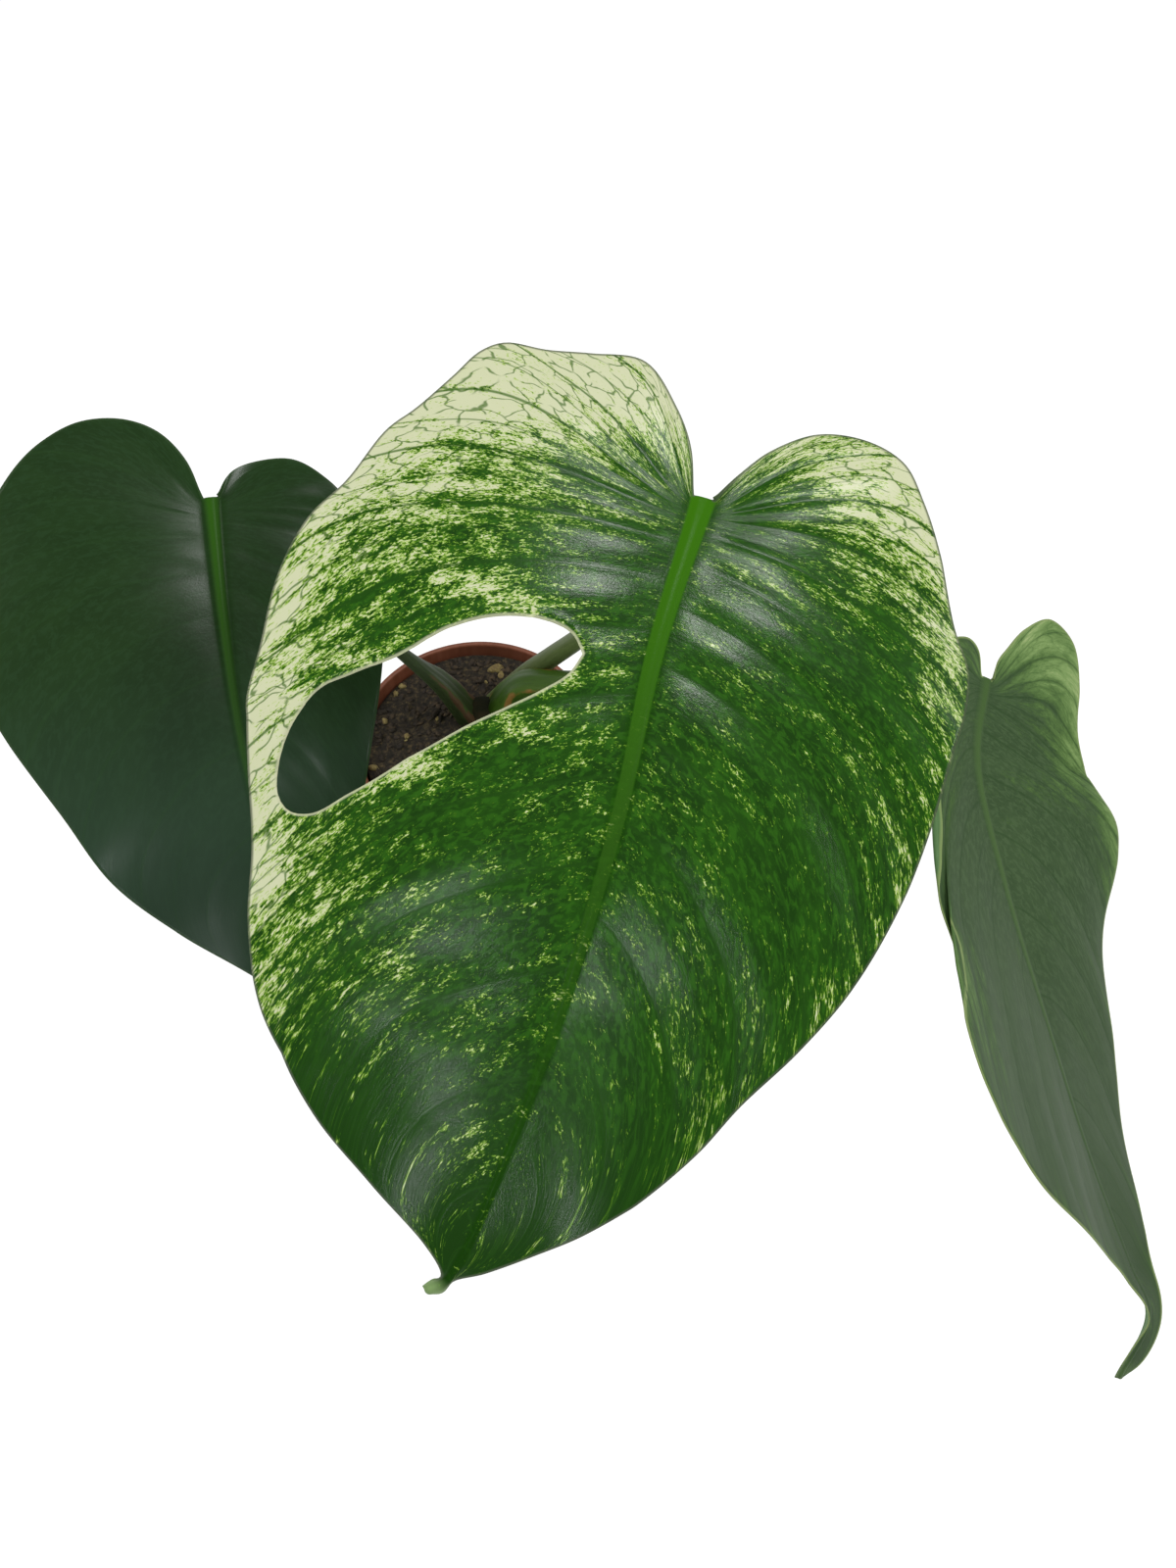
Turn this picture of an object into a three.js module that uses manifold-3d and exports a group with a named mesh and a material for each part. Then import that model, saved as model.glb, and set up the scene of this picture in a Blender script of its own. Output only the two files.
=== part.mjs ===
// A young variegated monstera with three leaves, growing in a round plastic nursery pot.
// Millimetres, +Z up, +X to the right, -Y towards the viewer.
// The origin is at the centre of the pot's underside.
import * as THREE from "three";
import { mergeVertices } from "three/addons/utils/BufferGeometryUtils.js";
import Module from "manifold-3d";

// Driving dimensions of the pot
const potHeight = 105;
const potRimRadius = 60;
const potBaseRadius = 43;
const potWall = 1.7;
const potFloor = 2.4;
const potSides = 48;
const rimBandHeight = 13;
const rimBandStep = 2;
const drainHoleRadius = 4.5;
const drainHoleCircle = 29;
const drainHoleCount = 6;

// Driving dimensions of the potting mix
const soilLevel = 99;
const soilMound = 3;
const soilRings = 10;
const lumpCount = 34;
const chipCount = 26;
const chipSize = [2.1, 3.9];

// Driving dimensions of the short stem that the leaf stalks grow from
const stemPlace = new THREE.Vector2(3, 13);
const stemRadius = 12;
const stemFoot = 46;
const stemTop = 110;
const stemSides = 28;

// Gap between neighbours that touch
const seatGap = 0.35;

// Driving dimensions that the leaves share
const bladeThickness = 0.9;
const ribRise = 0.9;
const ribDrop = 1.8;
const ribWidthAtTip = 0.8;
const stalkSides = 12;
const stalkSteps = 22;

// Each leaf has a stalk and a blade. The blade is drawn flat first, with x across it and y along
// its midrib, from the notch where the stalk joins to the tip. The spine then carries the midrib
// through space, the facings say where its upper side looks, and the bends give the lift of the
// left half, the lift of the right half, in degrees, and how fast both curl down, in degrees a mm.
const leaves = {
  left: {
    length: 182,
    ribWidth: 3,
    ripple: 1.5,
    rippleWaves: 4.5,
    colour: 0x24502c,
    stalkColour: 0x5d7a45,
    spine: [
      [-71, -40, 305],
      [-64.2, -81.6, 287.6],
      [-56.2, -121, 268],
      [-45.2, -158.3, 241],
      [-32.5, -190.5, 213.5],
    ],
    facings: [
      [0.15, -0.45, 0.9],
      [0.15, -0.4, 0.9],
      [0.15, -0.35, 0.9],
    ],
    bends: [
      [6, 6, 0.2],
      [5, 5, 0.17],
      [4, 4, 0.14],
    ],
    leftEdge: [
      [-2.5, 0], [-7, -14], [-15.5, -25], [-27.5, -31], [-41, -31], [-54, -23.5], [-66, -10],
      [-77, 8], [-82, 30], [-80, 52], [-72.5, 72], [-58.5, 98], [-48.5, 120], [-35, 138.5], [-19, 156],
      [-8, 170], [-1.6, 182],
    ],
    rightEdge: [
      [2.5, 0], [7.5, -8.5], [16, -12], [28, -11.5], [38.5, -3], [48, 11], [53, 31], [52.5, 50],
      [49.5, 65], [45, 82], [37.5, 104], [28, 128], [17, 152], [8, 168], [1.6, 182],
    ],
    stalk: [
      [-3, 13, 98],
      [-15.5, 12, 130],
      [-31.5, 8, 163],
      [-45, -4, 207],
      [-61, -20, 257],
      [-72, -38.5, 289],
      [-70.8, -42.7, 301.1],
    ],
    stalkRadius: [6.5, 2.7],
    stalkTaper: 0.34,
    sheathWing: 0.75,
    sheathShare: 0.3,
  },
  main: {
    length: 244,
    ribWidth: 3.6,
    ripple: 1.6,
    rippleWaves: 4.5,
    colour: 0x4d7a3a,
    stalkColour: 0x6f8a4a,
    spine: [
      [89.8, -83.1, 346.9],
      [75.5, -125.8, 331.5],
      [65, -168.6, 313.3],
      [50.5, -210.8, 288.5],
      [34.4, -246.5, 261.5],
      [16.9, -275.6, 236.4],
      [10.3, -278, 232],
    ],
    facings: [
      [-0.05, -0.45, 0.9],
      [0, -0.4, 0.9],
      [0.05, -0.35, 0.9],
    ],
    bends: [
      [6, 6, 0.14],
      [5, 5, 0.13],
      [4, 4, 0.11],
    ],
    leftEdge: [
      [-3, 0], [-8, -13.5], [-15.5, -24], [-29, -36], [-45, -34.5], [-58, -32], [-70.5, -30.5],
      [-76.5, -25.5], [-81.5, -15], [-87.5, -4], [-95, 7], [-101.5, 25], [-108.5, 36], [-111.5, 50],
      [-110, 68], [-109.5, 87], [-104, 111], [-96, 135], [-89.5, 157.5], [-76, 185], [-54, 206],
      [-32, 218], [-11, 228.5], [-2, 236], [-2.4, 240], [-1.7, 244],
    ],
    rightEdge: [
      [3, 0], [8, -10], [14.5, -20], [26, -29], [39.5, -30.5], [52, -26], [60.5, -15.5], [68, -4],
      [78.5, 15], [85.5, 26.5], [87.3, 41], [86, 60], [83.5, 85], [79, 106], [73, 123.5],
      [64.5, 141], [55, 159], [48.5, 175], [38.5, 192], [28, 206], [18, 217], [8, 228.5],
      [1.7, 236], [2.4, 240], [1.7, 244],
    ],
    // The natural window in the left half of the blade
    window: [
      [-19.5, 54], [-24, 49.5], [-33, 48], [-45.5, 50], [-58, 55.5], [-69.5, 64.5], [-81, 71.5],
      [-89.5, 78], [-94, 90], [-95.5, 106], [-93, 117], [-88.5, 120.5], [-82, 119],
      [-74, 110.5], [-67.5, 103.5], [-57, 91], [-47.5, 81], [-37.5, 73], [-29, 66.5], [-22, 60],
    ],
    stalk: [
      [6, 20, 98],
      [25.5, 25.9, 120],
      [38.4, 19.8, 142],
      [50.6, 9, 168],
      [61.9, -5, 198],
      [70.5, -24, 246],
      [80, -46, 285],
      [88.5, -80.5, 329],
      [88.6, -85.8, 343.2],
    ],
    stalkRadius: [5, 3.5],
    stalkTaper: 0.4,
    sheathWing: 0.1,
    sheathShare: 0.15,
  },
  right: {
    length: 241,
    ribWidth: 3,
    ripple: 1.2,
    rippleWaves: 4.5,
    colour: 0x3f6046,
    stalkColour: 0x87924e,
    spine: [
      [188.8, -95, 277.2],
      [184, -121, 267.4],
      [190.5, -160, 252.5],
      [202, -199, 234],
      [216, -236, 211],
      [230, -263, 190],
      [238.5, -277, 176],
      [229, -294, 164.5],
    ],
    facings: [
      [0.75, -0.145, 0.645],
      [0.76, -0.145, 0.63],
      [0.79, -0.145, 0.6],
      [0.8, -0.145, 0.58],
      [0.79, -0.15, 0.59],
      [0.45, -0.3, 0.84],
    ],
    bends: [
      [-4, 24, 0.12],
      [0, 23, 0.12],
      [7, 17.5, 0.12],
      [8, 10.5, 0.12],
      [8, 9, 0.12],
      [8, 8, 0.12],
    ],
    leftEdge: [
      [-2.5, 0], [-7, -7], [-14, -9], [-23, -6], [-31, 1], [-37, 10], [-39, 20], [-36.5, 31],
      [-33.8, 42.8], [-44.3, 58.8], [-53.9, 70.1], [-56.2, 80.2], [-63.1, 88.7], [-73.8, 96.1],
      [-77.8, 107.1], [-74.2, 118.2], [-65.7, 129.2], [-54.4, 144.1], [-42.7, 157.2],
      [-30, 170.3], [-18.9, 181.4], [-9.7, 193.2], [-5, 206.1], [-4.6, 224], [-2.2, 241],
    ],
    rightEdge: [
      [2.5, 0], [4, -7], [8.5, -13.3], [16.5, -22.7], [27.4, -29.4], [37.6, -24], [41.4, -8.6],
      [42.9, 4.1], [52.1, 17.1], [58, 30], [62.6, 42.4], [67.1, 56.3], [65.7, 66.7], [62.5, 78.2],
      [54.7, 93.2], [47.6, 106.9], [42.7, 121.5], [40.4, 135.6], [37.5, 150.1], [31.7, 165.9],
      [23.5, 181.6], [14.8, 195.9], [8.5, 208], [7.5, 222], [6, 234], [2.2, 241],
    ],
    stalk: [
      [13, 13, 98],
      [16.5, 13.5, 111],
      [24.5, 13.5, 124],
      [46, 2.5, 142.5],
      [88, -19, 186],
      [130, -52, 232],
      [176.4, -92.2, 266.5],
      [186.3, -97.2, 274.5],
    ],
    stalkRadius: [9.5, 3.6],
    stalkTaper: 0.5,
    sheathWing: 0.35,
    sheathShare: 0.3,
  },
};

const bladeRows = 46;
const bladeColumns = 7;
const rowGathering = 0.06;
const fanShare = 0.22;
const fanSpread = 5;
const veinSweep = 1.35;

const wasm = await Module();
wasm.setup();

// A seeded source of even random numbers from 0 to 1, the same on every run.
function seededRandom(seed) {
  let state = seed;
  return () => {
    state = (state * 48271) % 2147483647;
    return state / 2147483647;
  };
}

function toSolid(geometry) {
  const bare = geometry.clone();
  bare.deleteAttribute("normal");
  bare.deleteAttribute("uv");
  const merged = mergeVertices(bare, 1e-4);
  return new wasm.Manifold(
    new wasm.Mesh({
      numProp: 3,
      vertProperties: new Float32Array(merged.attributes.position.array),
      triVerts: new Uint32Array(merged.index.array),
    }),
  );
}

// The largest body of a solid, without any scrap that a cut has left loose.
function toGeometry(solid) {
  const bodies = solid.decompose();
  const largest = bodies.reduce((a, b) => (a.volume() > b.volume() ? a : b));
  const mesh = largest.getMesh();
  const geometry = new THREE.BufferGeometry();
  geometry.setAttribute("position", new THREE.BufferAttribute(mesh.vertProperties, 3));
  geometry.setIndex(new THREE.BufferAttribute(mesh.triVerts, 1));
  return geometry;
}

// A body of revolution about the Z axis, from [radius, height] pairs that run up its outside.
function turned(profile, sides) {
  const points = profile.map(([radius, height]) => new THREE.Vector2(radius, height));
  return new THREE.LatheGeometry(points, sides).rotateX(Math.PI / 2);
}

function curveThrough(points) {
  const vectors = points.map(([x, y, z = 0]) => new THREE.Vector3(x, y, z));
  return new THREE.CatmullRomCurve3(vectors);
}

// Inner radius of the pot's plain wall, below the rim band, at a height.
function innerRadiusAt(height) {
  const share = height / (potHeight - rimBandHeight);
  const outer = THREE.MathUtils.lerp(potBaseRadius, potRimRadius - rimBandStep, share);
  return outer - potWall;
}

function potGeometry() {
  const bandFoot = potHeight - rimBandHeight;
  const wallTop = potRimRadius - rimBandStep;
  const profile = [
    [0, 0],
    [potBaseRadius - 1.6, 0],
    [potBaseRadius, 1.6],
    [wallTop - 0.4, bandFoot],
    [potRimRadius - 1, bandFoot + 0.6],
    [potRimRadius - 0.2, potHeight - 1.6],
    [potRimRadius, potHeight - 0.8],
    [potRimRadius - 0.7, potHeight],
    [potRimRadius - 2, potHeight],
    [potRimRadius - 2.6, potHeight - 0.8],
    [potRimRadius - 3, bandFoot + 3],
    [innerRadiusAt(bandFoot), bandFoot - 1],
    [innerRadiusAt(potFloor + 2), potFloor + 2],
    [innerRadiusAt(potFloor) - 2, potFloor],
    [0, potFloor],
  ];
  let pot = toSolid(turned(profile, potSides));
  for (let hole = 0; hole < drainHoleCount; hole += 1) {
    const angle = ((hole + 0.5) / drainHoleCount) * 2 * Math.PI;
    const cutter = new THREE.CylinderGeometry(drainHoleRadius, drainHoleRadius, 4 * potFloor, 20)
      .rotateX(Math.PI / 2)
      .translate(drainHoleCircle * Math.cos(angle), drainHoleCircle * Math.sin(angle), potFloor / 2);
    pot = pot.subtract(toSolid(cutter));
  }
  return toGeometry(pot);
}

// Soft lumps of the potting mix, as places, widths and heights.
const lumpRandom = seededRandom(17);
const soilLumps = Array.from({ length: lumpCount }, () => {
  const angle = lumpRandom() * 2 * Math.PI;
  const distance = Math.sqrt(lumpRandom()) * (innerRadiusAt(soilLevel) - 8);
  return {
    x: distance * Math.cos(angle),
    y: distance * Math.sin(angle),
    width: THREE.MathUtils.lerp(4, 9, lumpRandom()),
    height: THREE.MathUtils.lerp(-1.2, 2.2, lumpRandom()),
  };
});

function soilHeightAt(x, y) {
  const edge = innerRadiusAt(soilLevel);
  const inward = THREE.MathUtils.clamp((edge - Math.hypot(x, y)) / edge, 0, 1);
  let height = soilLevel + soilMound * Math.sin((inward * Math.PI) / 2);
  const fade = Math.min(1, inward * 6);
  for (const lump of soilLumps) {
    const squared = ((x - lump.x) ** 2 + (y - lump.y) ** 2) / lump.width ** 2;
    height += fade * lump.height * Math.exp(-squared);
  }
  return height;
}

function chipGeometry(random) {
  const edge = innerRadiusAt(soilLevel) - 7;
  const angle = random() * 2 * Math.PI;
  const distance = Math.sqrt(random()) * edge;
  const x = distance * Math.cos(angle);
  const y = distance * Math.sin(angle);
  const size = THREE.MathUtils.lerp(...chipSize, random());
  const turn = new THREE.Euler(random() * 0.7, random() * 0.7, random() * 6.3);
  const place = new THREE.Matrix4().compose(
    new THREE.Vector3(x, y, soilHeightAt(x, y) + 0.15 * size),
    new THREE.Quaternion().setFromEuler(turn),
    new THREE.Vector3(size, size * 0.75, size * 0.55),
  );
  return new THREE.DodecahedronGeometry(1, 0).applyMatrix4(place);
}

// Outer profile of the short stem, made larger all round by a given amount.
function stemProfile(extra) {
  return [
    [0, stemFoot - extra],
    [stemRadius * 0.55 + extra, stemFoot - extra],
    [stemRadius * 0.85 + extra, stemFoot + 8],
    [stemRadius * 0.92 + extra, stemFoot + 22],
    [stemRadius * 1.02 + extra, stemFoot + 25],
    [stemRadius * 0.94 + extra, stemFoot + 28],
    [stemRadius * 0.98 + extra, soilLevel - 3],
    [stemRadius * 1.04 + extra, soilLevel],
    [stemRadius * 0.96 + extra, soilLevel + 4],
    [stemRadius * 0.86 + extra, stemTop - 5 + extra],
    [stemRadius * 0.55 + extra, stemTop + extra],
    [0, stemTop + 1 + extra],
  ];
}

function stemGeometry(extra = 0) {
  return turned(stemProfile(extra), stemSides).translate(stemPlace.x, stemPlace.y, 0);
}

function soilGeometry() {
  const edge = innerRadiusAt(soilLevel - 8) - seatGap;
  const foot = potFloor + seatGap;
  const profile = [
    [0, foot],
    [innerRadiusAt(foot) - 3, foot],
    [innerRadiusAt(foot + 3) - seatGap, foot + 3],
    [edge, soilLevel - 8],
    [edge, soilLevel - 1],
  ];
  for (let ring = 1; ring <= soilRings; ring += 1) {
    profile.push([edge * (1 - ring / soilRings), soilLevel]);
  }
  const body = turned(profile, potSides);
  const points = body.attributes.position;
  for (let i = 0; i < points.count; i += 1) {
    if (points.getZ(i) > soilLevel - 0.01) {
      points.setZ(i, soilHeightAt(points.getX(i), points.getY(i)));
    }
  }
  let soil = toSolid(body);
  const random = seededRandom(29);
  for (let chip = 0; chip < chipCount; chip += 1) {
    soil = soil.add(toSolid(chipGeometry(random)));
  }
  const hole = turned(
    [
      [0, stemFoot - 2 * seatGap],
      [stemRadius * 0.98 + seatGap, stemFoot - 2 * seatGap],
      [stemRadius * 1.04 + seatGap, soilLevel],
      [stemRadius * 1.04 + seatGap, stemTop],
      [0, stemTop],
    ],
    stemSides,
  ).translate(stemPlace.x, stemPlace.y, 0);
  return toGeometry(soil.subtract(toSolid(hole)));
}

// The directions of a blade at a place y along its midrib: origin on the spine, the way along
// it, the way its upper side looks, and the way across to its right half.
function bladeFrame(leaf, y) {
  const share = THREE.MathUtils.clamp(y / leaf.length, 0, 1);
  const along = leaf.spineCurve.getTangentAt(share);
  const beyond = y - share * leaf.length;
  const origin = leaf.spineCurve.getPointAt(share).addScaledVector(along, beyond);
  const facing = leaf.facingCurve.getPoint(share);
  facing.addScaledVector(along, -facing.dot(along)).normalize();
  const across = new THREE.Vector3().crossVectors(facing, along);
  return { origin, along, facing, across, bend: leaf.bendCurve.getPoint(share) };
}

// The point in space of a flat place on the blade, x across and y along, raised by a lift.
function bladePoint(leaf, x, y, lift) {
  const { origin, facing, across, bend } = bladeFrame(leaf, y);
  const distance = Math.abs(x);
  const raise = x < 0 ? bend.x : bend.y;
  const angle = THREE.MathUtils.degToRad(raise - (bend.z * distance) / 2);
  return origin
    .addScaledVector(across, Math.sign(x) * distance * Math.cos(angle))
    .addScaledVector(facing, distance * Math.sin(angle) + lift);
}

// Half the width of the midrib at a place y along the blade.
function ribHalfWidth(leaf, y) {
  const share = THREE.MathUtils.clamp(y / leaf.length, 0, 1);
  return THREE.MathUtils.lerp(leaf.ribWidth, ribWidthAtTip, Math.sqrt(share));
}

// Share of the blade's edge that a row ends at, with the rows closer at the notch and the tip.
function edgeShare(row) {
  const even = row / bladeRows;
  return even - rowGathering * Math.sin(2 * Math.PI * even);
}

// Where a vein of the given row leaves the midrib. The first rows fan out round the lobes.
function veinStart(leaf, row) {
  const share = edgeShare(row);
  const past = Math.max(0, (share - fanShare) / (1 - fanShare));
  const spread = fanSpread * Math.min(1, share / fanShare);
  return spread + (leaf.length - spread) * past ** 1.8;
}

// Flat place of a grid corner. Columns run from the left edge, past the midrib, to the right.
function flatPlace(leaf, row, column) {
  const edgeCurve = column < 0 ? leaf.leftCurve : leaf.rightCurve;
  const edge = edgeCurve.getPointAt(edgeShare(row));
  const start = veinStart(leaf, row);
  const reach = Math.hypot(edge.x, edge.y - start);
  const ribShare = Math.min(ribHalfWidth(leaf, start) / reach, 0.3);
  const step = Math.abs(column);
  const share = step === 0 ? 0 : ribShare + ((1 - ribShare) * (step - 1)) / (bladeColumns - 1);
  const x = edge.x * share;
  const y = start + (edge.y - start) * share ** veinSweep;
  return { x, y, share };
}

// A blade of even thickness with a raised midrib, split into triangles alike on both faces. With
// a gap it is the room that the stalk leaves for it.
function bladeGeometry(leaf, gap = 0) {
  const across = 2 * bladeColumns;
  const face = new THREE.PlaneGeometry(1, 1, across, bladeRows);
  const upper = face.attributes.position;
  const thickness = [];
  const rise = [];
  for (let row = 0; row <= bladeRows; row += 1) {
    for (let place = 0; place <= across; place += 1) {
      const { x, y, share } = flatPlace(leaf, row, place - bladeColumns);
      const phase = edgeShare(row) * leaf.rippleWaves * 2 * Math.PI + (x < 0 ? 0 : 2);
      const lift = leaf.ripple * share ** 2 * Math.sin(phase);
      const point = bladePoint(leaf, x, y, lift);
      upper.setXYZ(rise.length, point.x, point.y, point.z);
      const middle = place === bladeColumns ? 1 : 0;
      const onRib = middle * Math.min(1, ribHalfWidth(leaf, y) / leaf.ribWidth + 0.1);
      rise.push(onRib * ribRise + gap);
      thickness.push(bladeThickness + onRib * (ribRise + ribDrop) + 2 * gap);
    }
  }
  face.computeVertexNormals();
  return closedSlab(face, rise, thickness, across);
}

// Closes a grid into a slab: the upper face goes up by the rise, and the lower one lies below it.
function closedSlab(face, rise, thickness, across) {
  const normals = face.attributes.normal;
  const middle = face.attributes.position;
  const count = middle.count;
  const positions = new Float32Array(6 * count);
  for (let i = 0; i < count; i += 1) {
    const point = new THREE.Vector3().fromBufferAttribute(middle, i);
    const normal = new THREE.Vector3().fromBufferAttribute(normals, i);
    const top = point.clone().addScaledVector(normal, rise[i]);
    const bottom = top.clone().addScaledVector(normal, -thickness[i]);
    top.toArray(positions, 3 * i);
    bottom.toArray(positions, 3 * (count + i));
  }
  const index = [...face.index.array];
  for (let i = 0; i < face.index.count; i += 3) {
    const [a, b, c] = face.index.array.slice(i, i + 3);
    index.push(count + a, count + c, count + b);
  }
  const loop = borderLoop(across, bladeRows);
  loop.forEach((a, i) => {
    const b = loop[(i + 1) % loop.length];
    index.push(a, count + a, b, b, count + a, count + b);
  });
  const slab = new THREE.BufferGeometry();
  slab.setAttribute("position", new THREE.BufferAttribute(positions, 3));
  slab.setIndex(index);
  return slab;
}

// The corners round the border of a grid, in the order that its faces run.
function borderLoop(across, down) {
  const width = across + 1;
  const loop = [];
  for (let row = 0; row < down; row += 1) loop.push(row * width);
  for (let place = 0; place < across; place += 1) loop.push(down * width + place);
  for (let row = down; row > 0; row -= 1) loop.push(row * width + across);
  for (let place = across; place > 0; place -= 1) loop.push(place);
  return loop;
}

// A prism through the blade with the outline of its natural window.
function windowGeometry(leaf) {
  const reach = 9;
  const outline = new THREE.Shape(leaf.window.map(([x, y]) => new THREE.Vector2(x, y)));
  const prism = new THREE.ExtrudeGeometry(outline, { depth: 2 * reach, bevelEnabled: false });
  const points = prism.attributes.position;
  for (let i = 0; i < points.count; i += 1) {
    const lift = reach - points.getZ(i);
    const point = bladePoint(leaf, points.getX(i), points.getY(i), lift);
    points.setXYZ(i, point.x, point.y, point.z);
  }
  return prism;
}

// Wing and groove of a stalk's section at an angle round it, where the sheath's strength is 0 to 1.
// The groove runs along the side that faces the stem, with a thin wing at each of its edges.
function sectionScale(angle, wing, strength) {
  const fromGroove = Math.abs(Math.atan2(Math.sin(angle), Math.cos(angle)));
  const wingPeak = Math.exp(-(((fromGroove - 0.95) / 0.3) ** 2));
  const groove = Math.exp(-((fromGroove / 0.5) ** 2));
  return 1 + strength * (wing * wingPeak - 0.3 * groove);
}

// A stalk along its curve, thick and sheathed at the foot and round at the top.
function stalkGeometry(leaf, extra = 0) {
  const curve = curveThrough(leaf.stalk);
  const tube = new THREE.CylinderGeometry(1, 1, 1, stalkSides, stalkSteps);
  const points = tube.attributes.position;
  const inward = new THREE.Vector3(0, 0, 1);
  for (let i = 0; i < points.count; i += 1) {
    const share = THREE.MathUtils.clamp(points.getY(i) + 0.5, 0, 1);
    const centre = curve.getPointAt(share);
    const along = curve.getTangentAt(share);
    const grooveSide = inward.clone().addScaledVector(along, -inward.dot(along)).normalize();
    const side = new THREE.Vector3().crossVectors(along, grooveSide);
    const angle = Math.atan2(points.getX(i), points.getZ(i));
    const distance = Math.hypot(points.getX(i), points.getZ(i));
    const strength = THREE.MathUtils.smoothstep(leaf.sheathShare - share, 0, leaf.sheathShare * 0.6);
    const [foot, top] = leaf.stalkRadius;
    const swell = 0.6 * Math.exp(-(((share - 0.97) / 0.05) ** 2));
    const tapered = Math.min(1, share / leaf.stalkTaper) ** 0.7;
    const radius = THREE.MathUtils.lerp(foot, top, tapered) + swell;
    const scaled = distance * (radius * sectionScale(angle, leaf.sheathWing, strength) + extra);
    centre.addScaledVector(grooveSide, scaled * Math.cos(angle));
    centre.addScaledVector(side, scaled * Math.sin(angle));
    points.setXYZ(i, centre.x, centre.y, centre.z);
  }
  return tube;
}

for (const leaf of Object.values(leaves)) {
  leaf.spineCurve = curveThrough(leaf.spine);
  leaf.facingCurve = curveThrough(leaf.facings);
  leaf.bendCurve = curveThrough(leaf.bends);
  leaf.leftCurve = curveThrough(leaf.leftEdge);
  leaf.rightCurve = curveThrough(leaf.rightEdge);
}

function finished(geometry, name, color, roughness) {
  const material = new THREE.MeshStandardMaterial({ color, roughness, metalness: 0 });
  const mesh = new THREE.Mesh(geometry, material);
  mesh.name = name;
  return mesh;
}

const plant = new THREE.Group();
plant.name = "potted_monstera";
plant.add(finished(potGeometry(), "pot", 0x8a4a33, 0.55));
plant.add(finished(soilGeometry(), "soil", 0x3a2a20, 0.95));
plant.add(finished(stemGeometry(), "stem", 0x6f7a48, 0.6));

// Each stalk is seated on the stem, under its blade, and clear of the stalks placed before it.
const raisedSoil = toSolid(soilGeometry().translate(0, 0, seatGap));
let placed = toSolid(stemGeometry(seatGap)).add(raisedSoil);
for (const [name, leaf] of Object.entries(leaves)) {
  const roomForBlade = toSolid(bladeGeometry(leaf, seatGap));
  const stalk = toSolid(stalkGeometry(leaf)).subtract(placed).subtract(roomForBlade);
  plant.add(finished(toGeometry(stalk), `stalk_${name}`, leaf.stalkColour, 0.5));
  placed = placed.add(toSolid(stalkGeometry(leaf, seatGap)));
  const blade = toSolid(bladeGeometry(leaf));
  const cut = leaf.window ? blade.subtract(toSolid(windowGeometry(leaf))) : blade;
  plant.add(finished(toGeometry(cut), `blade_${name}`, leaf.colour, 0.4));
}

export default plant;
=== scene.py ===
import math
import random

import bmesh
import bpy
import numpy as np
from mathutils import Euler, Matrix, Vector, noise


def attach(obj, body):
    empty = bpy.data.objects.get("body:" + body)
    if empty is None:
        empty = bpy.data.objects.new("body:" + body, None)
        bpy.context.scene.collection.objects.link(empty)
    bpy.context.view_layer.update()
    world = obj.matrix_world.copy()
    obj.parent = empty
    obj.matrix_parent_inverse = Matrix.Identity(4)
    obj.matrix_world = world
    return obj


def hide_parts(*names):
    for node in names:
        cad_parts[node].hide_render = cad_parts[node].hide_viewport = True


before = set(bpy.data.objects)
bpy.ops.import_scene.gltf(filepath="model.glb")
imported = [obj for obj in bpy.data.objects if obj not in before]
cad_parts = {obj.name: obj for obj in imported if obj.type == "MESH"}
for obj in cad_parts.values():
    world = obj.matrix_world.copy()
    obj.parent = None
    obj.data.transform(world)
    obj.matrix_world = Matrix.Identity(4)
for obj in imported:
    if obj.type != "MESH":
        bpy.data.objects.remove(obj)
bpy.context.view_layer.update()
scene = bpy.context.scene
mm = 0.001
print("frame loaded:", len(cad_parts), "nodes")


def toLinear(hexColour):  # sRGB hex to the linear colour that a socket takes
    parts = [int(hexColour[i:i + 2], 16) / 255 for i in (1, 3, 5)]
    return [p / 12.92 if p < 0.04045 else ((p + 0.055) / 1.055) ** 2.4 for p in parts] + [1.0]


def feed(tree, node, links):  # each socket gets a link from another node or a fixed value
    for key, value in links.items():
        if isinstance(value, bpy.types.NodeSocket):
            tree.links.new(value, node.inputs[key])
        else:
            node.inputs[key].default_value = value


def addNode(tree, kind, links=None, output=0, stops=None, **settings):  # gives the new node's output socket
    node = tree.nodes.new("ShaderNode" + kind)
    for key, value in settings.items():
        setattr(node, key, value)
    feed(tree, node, links or {})
    if stops:
        ramp = node.color_ramp
        while len(ramp.elements) < len(stops):
            ramp.elements.new(0.5)
        for element, (place, colour) in zip(ramp.elements, stops):
            element.position = place
            element.color = toLinear(colour)
    return node.outputs[output]


def newMaterial(name):
    material = bpy.data.materials.new(name)
    material.use_nodes = True
    tree = material.node_tree
    return material, tree, tree.nodes["Principled BSDF"]


def grainMaterial(name, look):  # a dull or satin surface with one grain of a real size, in mm
    material, tree, shader = newMaterial(name)
    place = addNode(tree, "TexCoord", output="Object")
    scale = [1 / (size * mm) for size in look["grainMm"]]
    sized = addNode(tree, "Mapping", {"Vector": place, "Scale": scale})
    grain = addNode(tree, "TexNoise", {"Vector": sized, "Scale": 1.0, "Detail": 5.0, "Roughness": 0.65})
    gloss = {"Value": grain, "To Min": look["roughness"][0], "To Max": look["roughness"][1]}
    relief = {"Height": grain, "Strength": look["bump"], "Distance": look["bumpMm"] * mm}
    feed(tree, shader, {
        "Base Color": addNode(tree, "ValToRGB", {0: grain}, stops=look["stops"]),
        "Roughness": addNode(tree, "MapRange", gloss),
        "Normal": addNode(tree, "Bump", relief),
        "IOR": look["ior"],
    })
    return material


def toMesh(name, form):  # a mesh of what a bmesh holds, which is then freed
    mesh = bpy.data.meshes.new(name)
    form.to_mesh(mesh)
    form.free()
    return mesh


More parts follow.
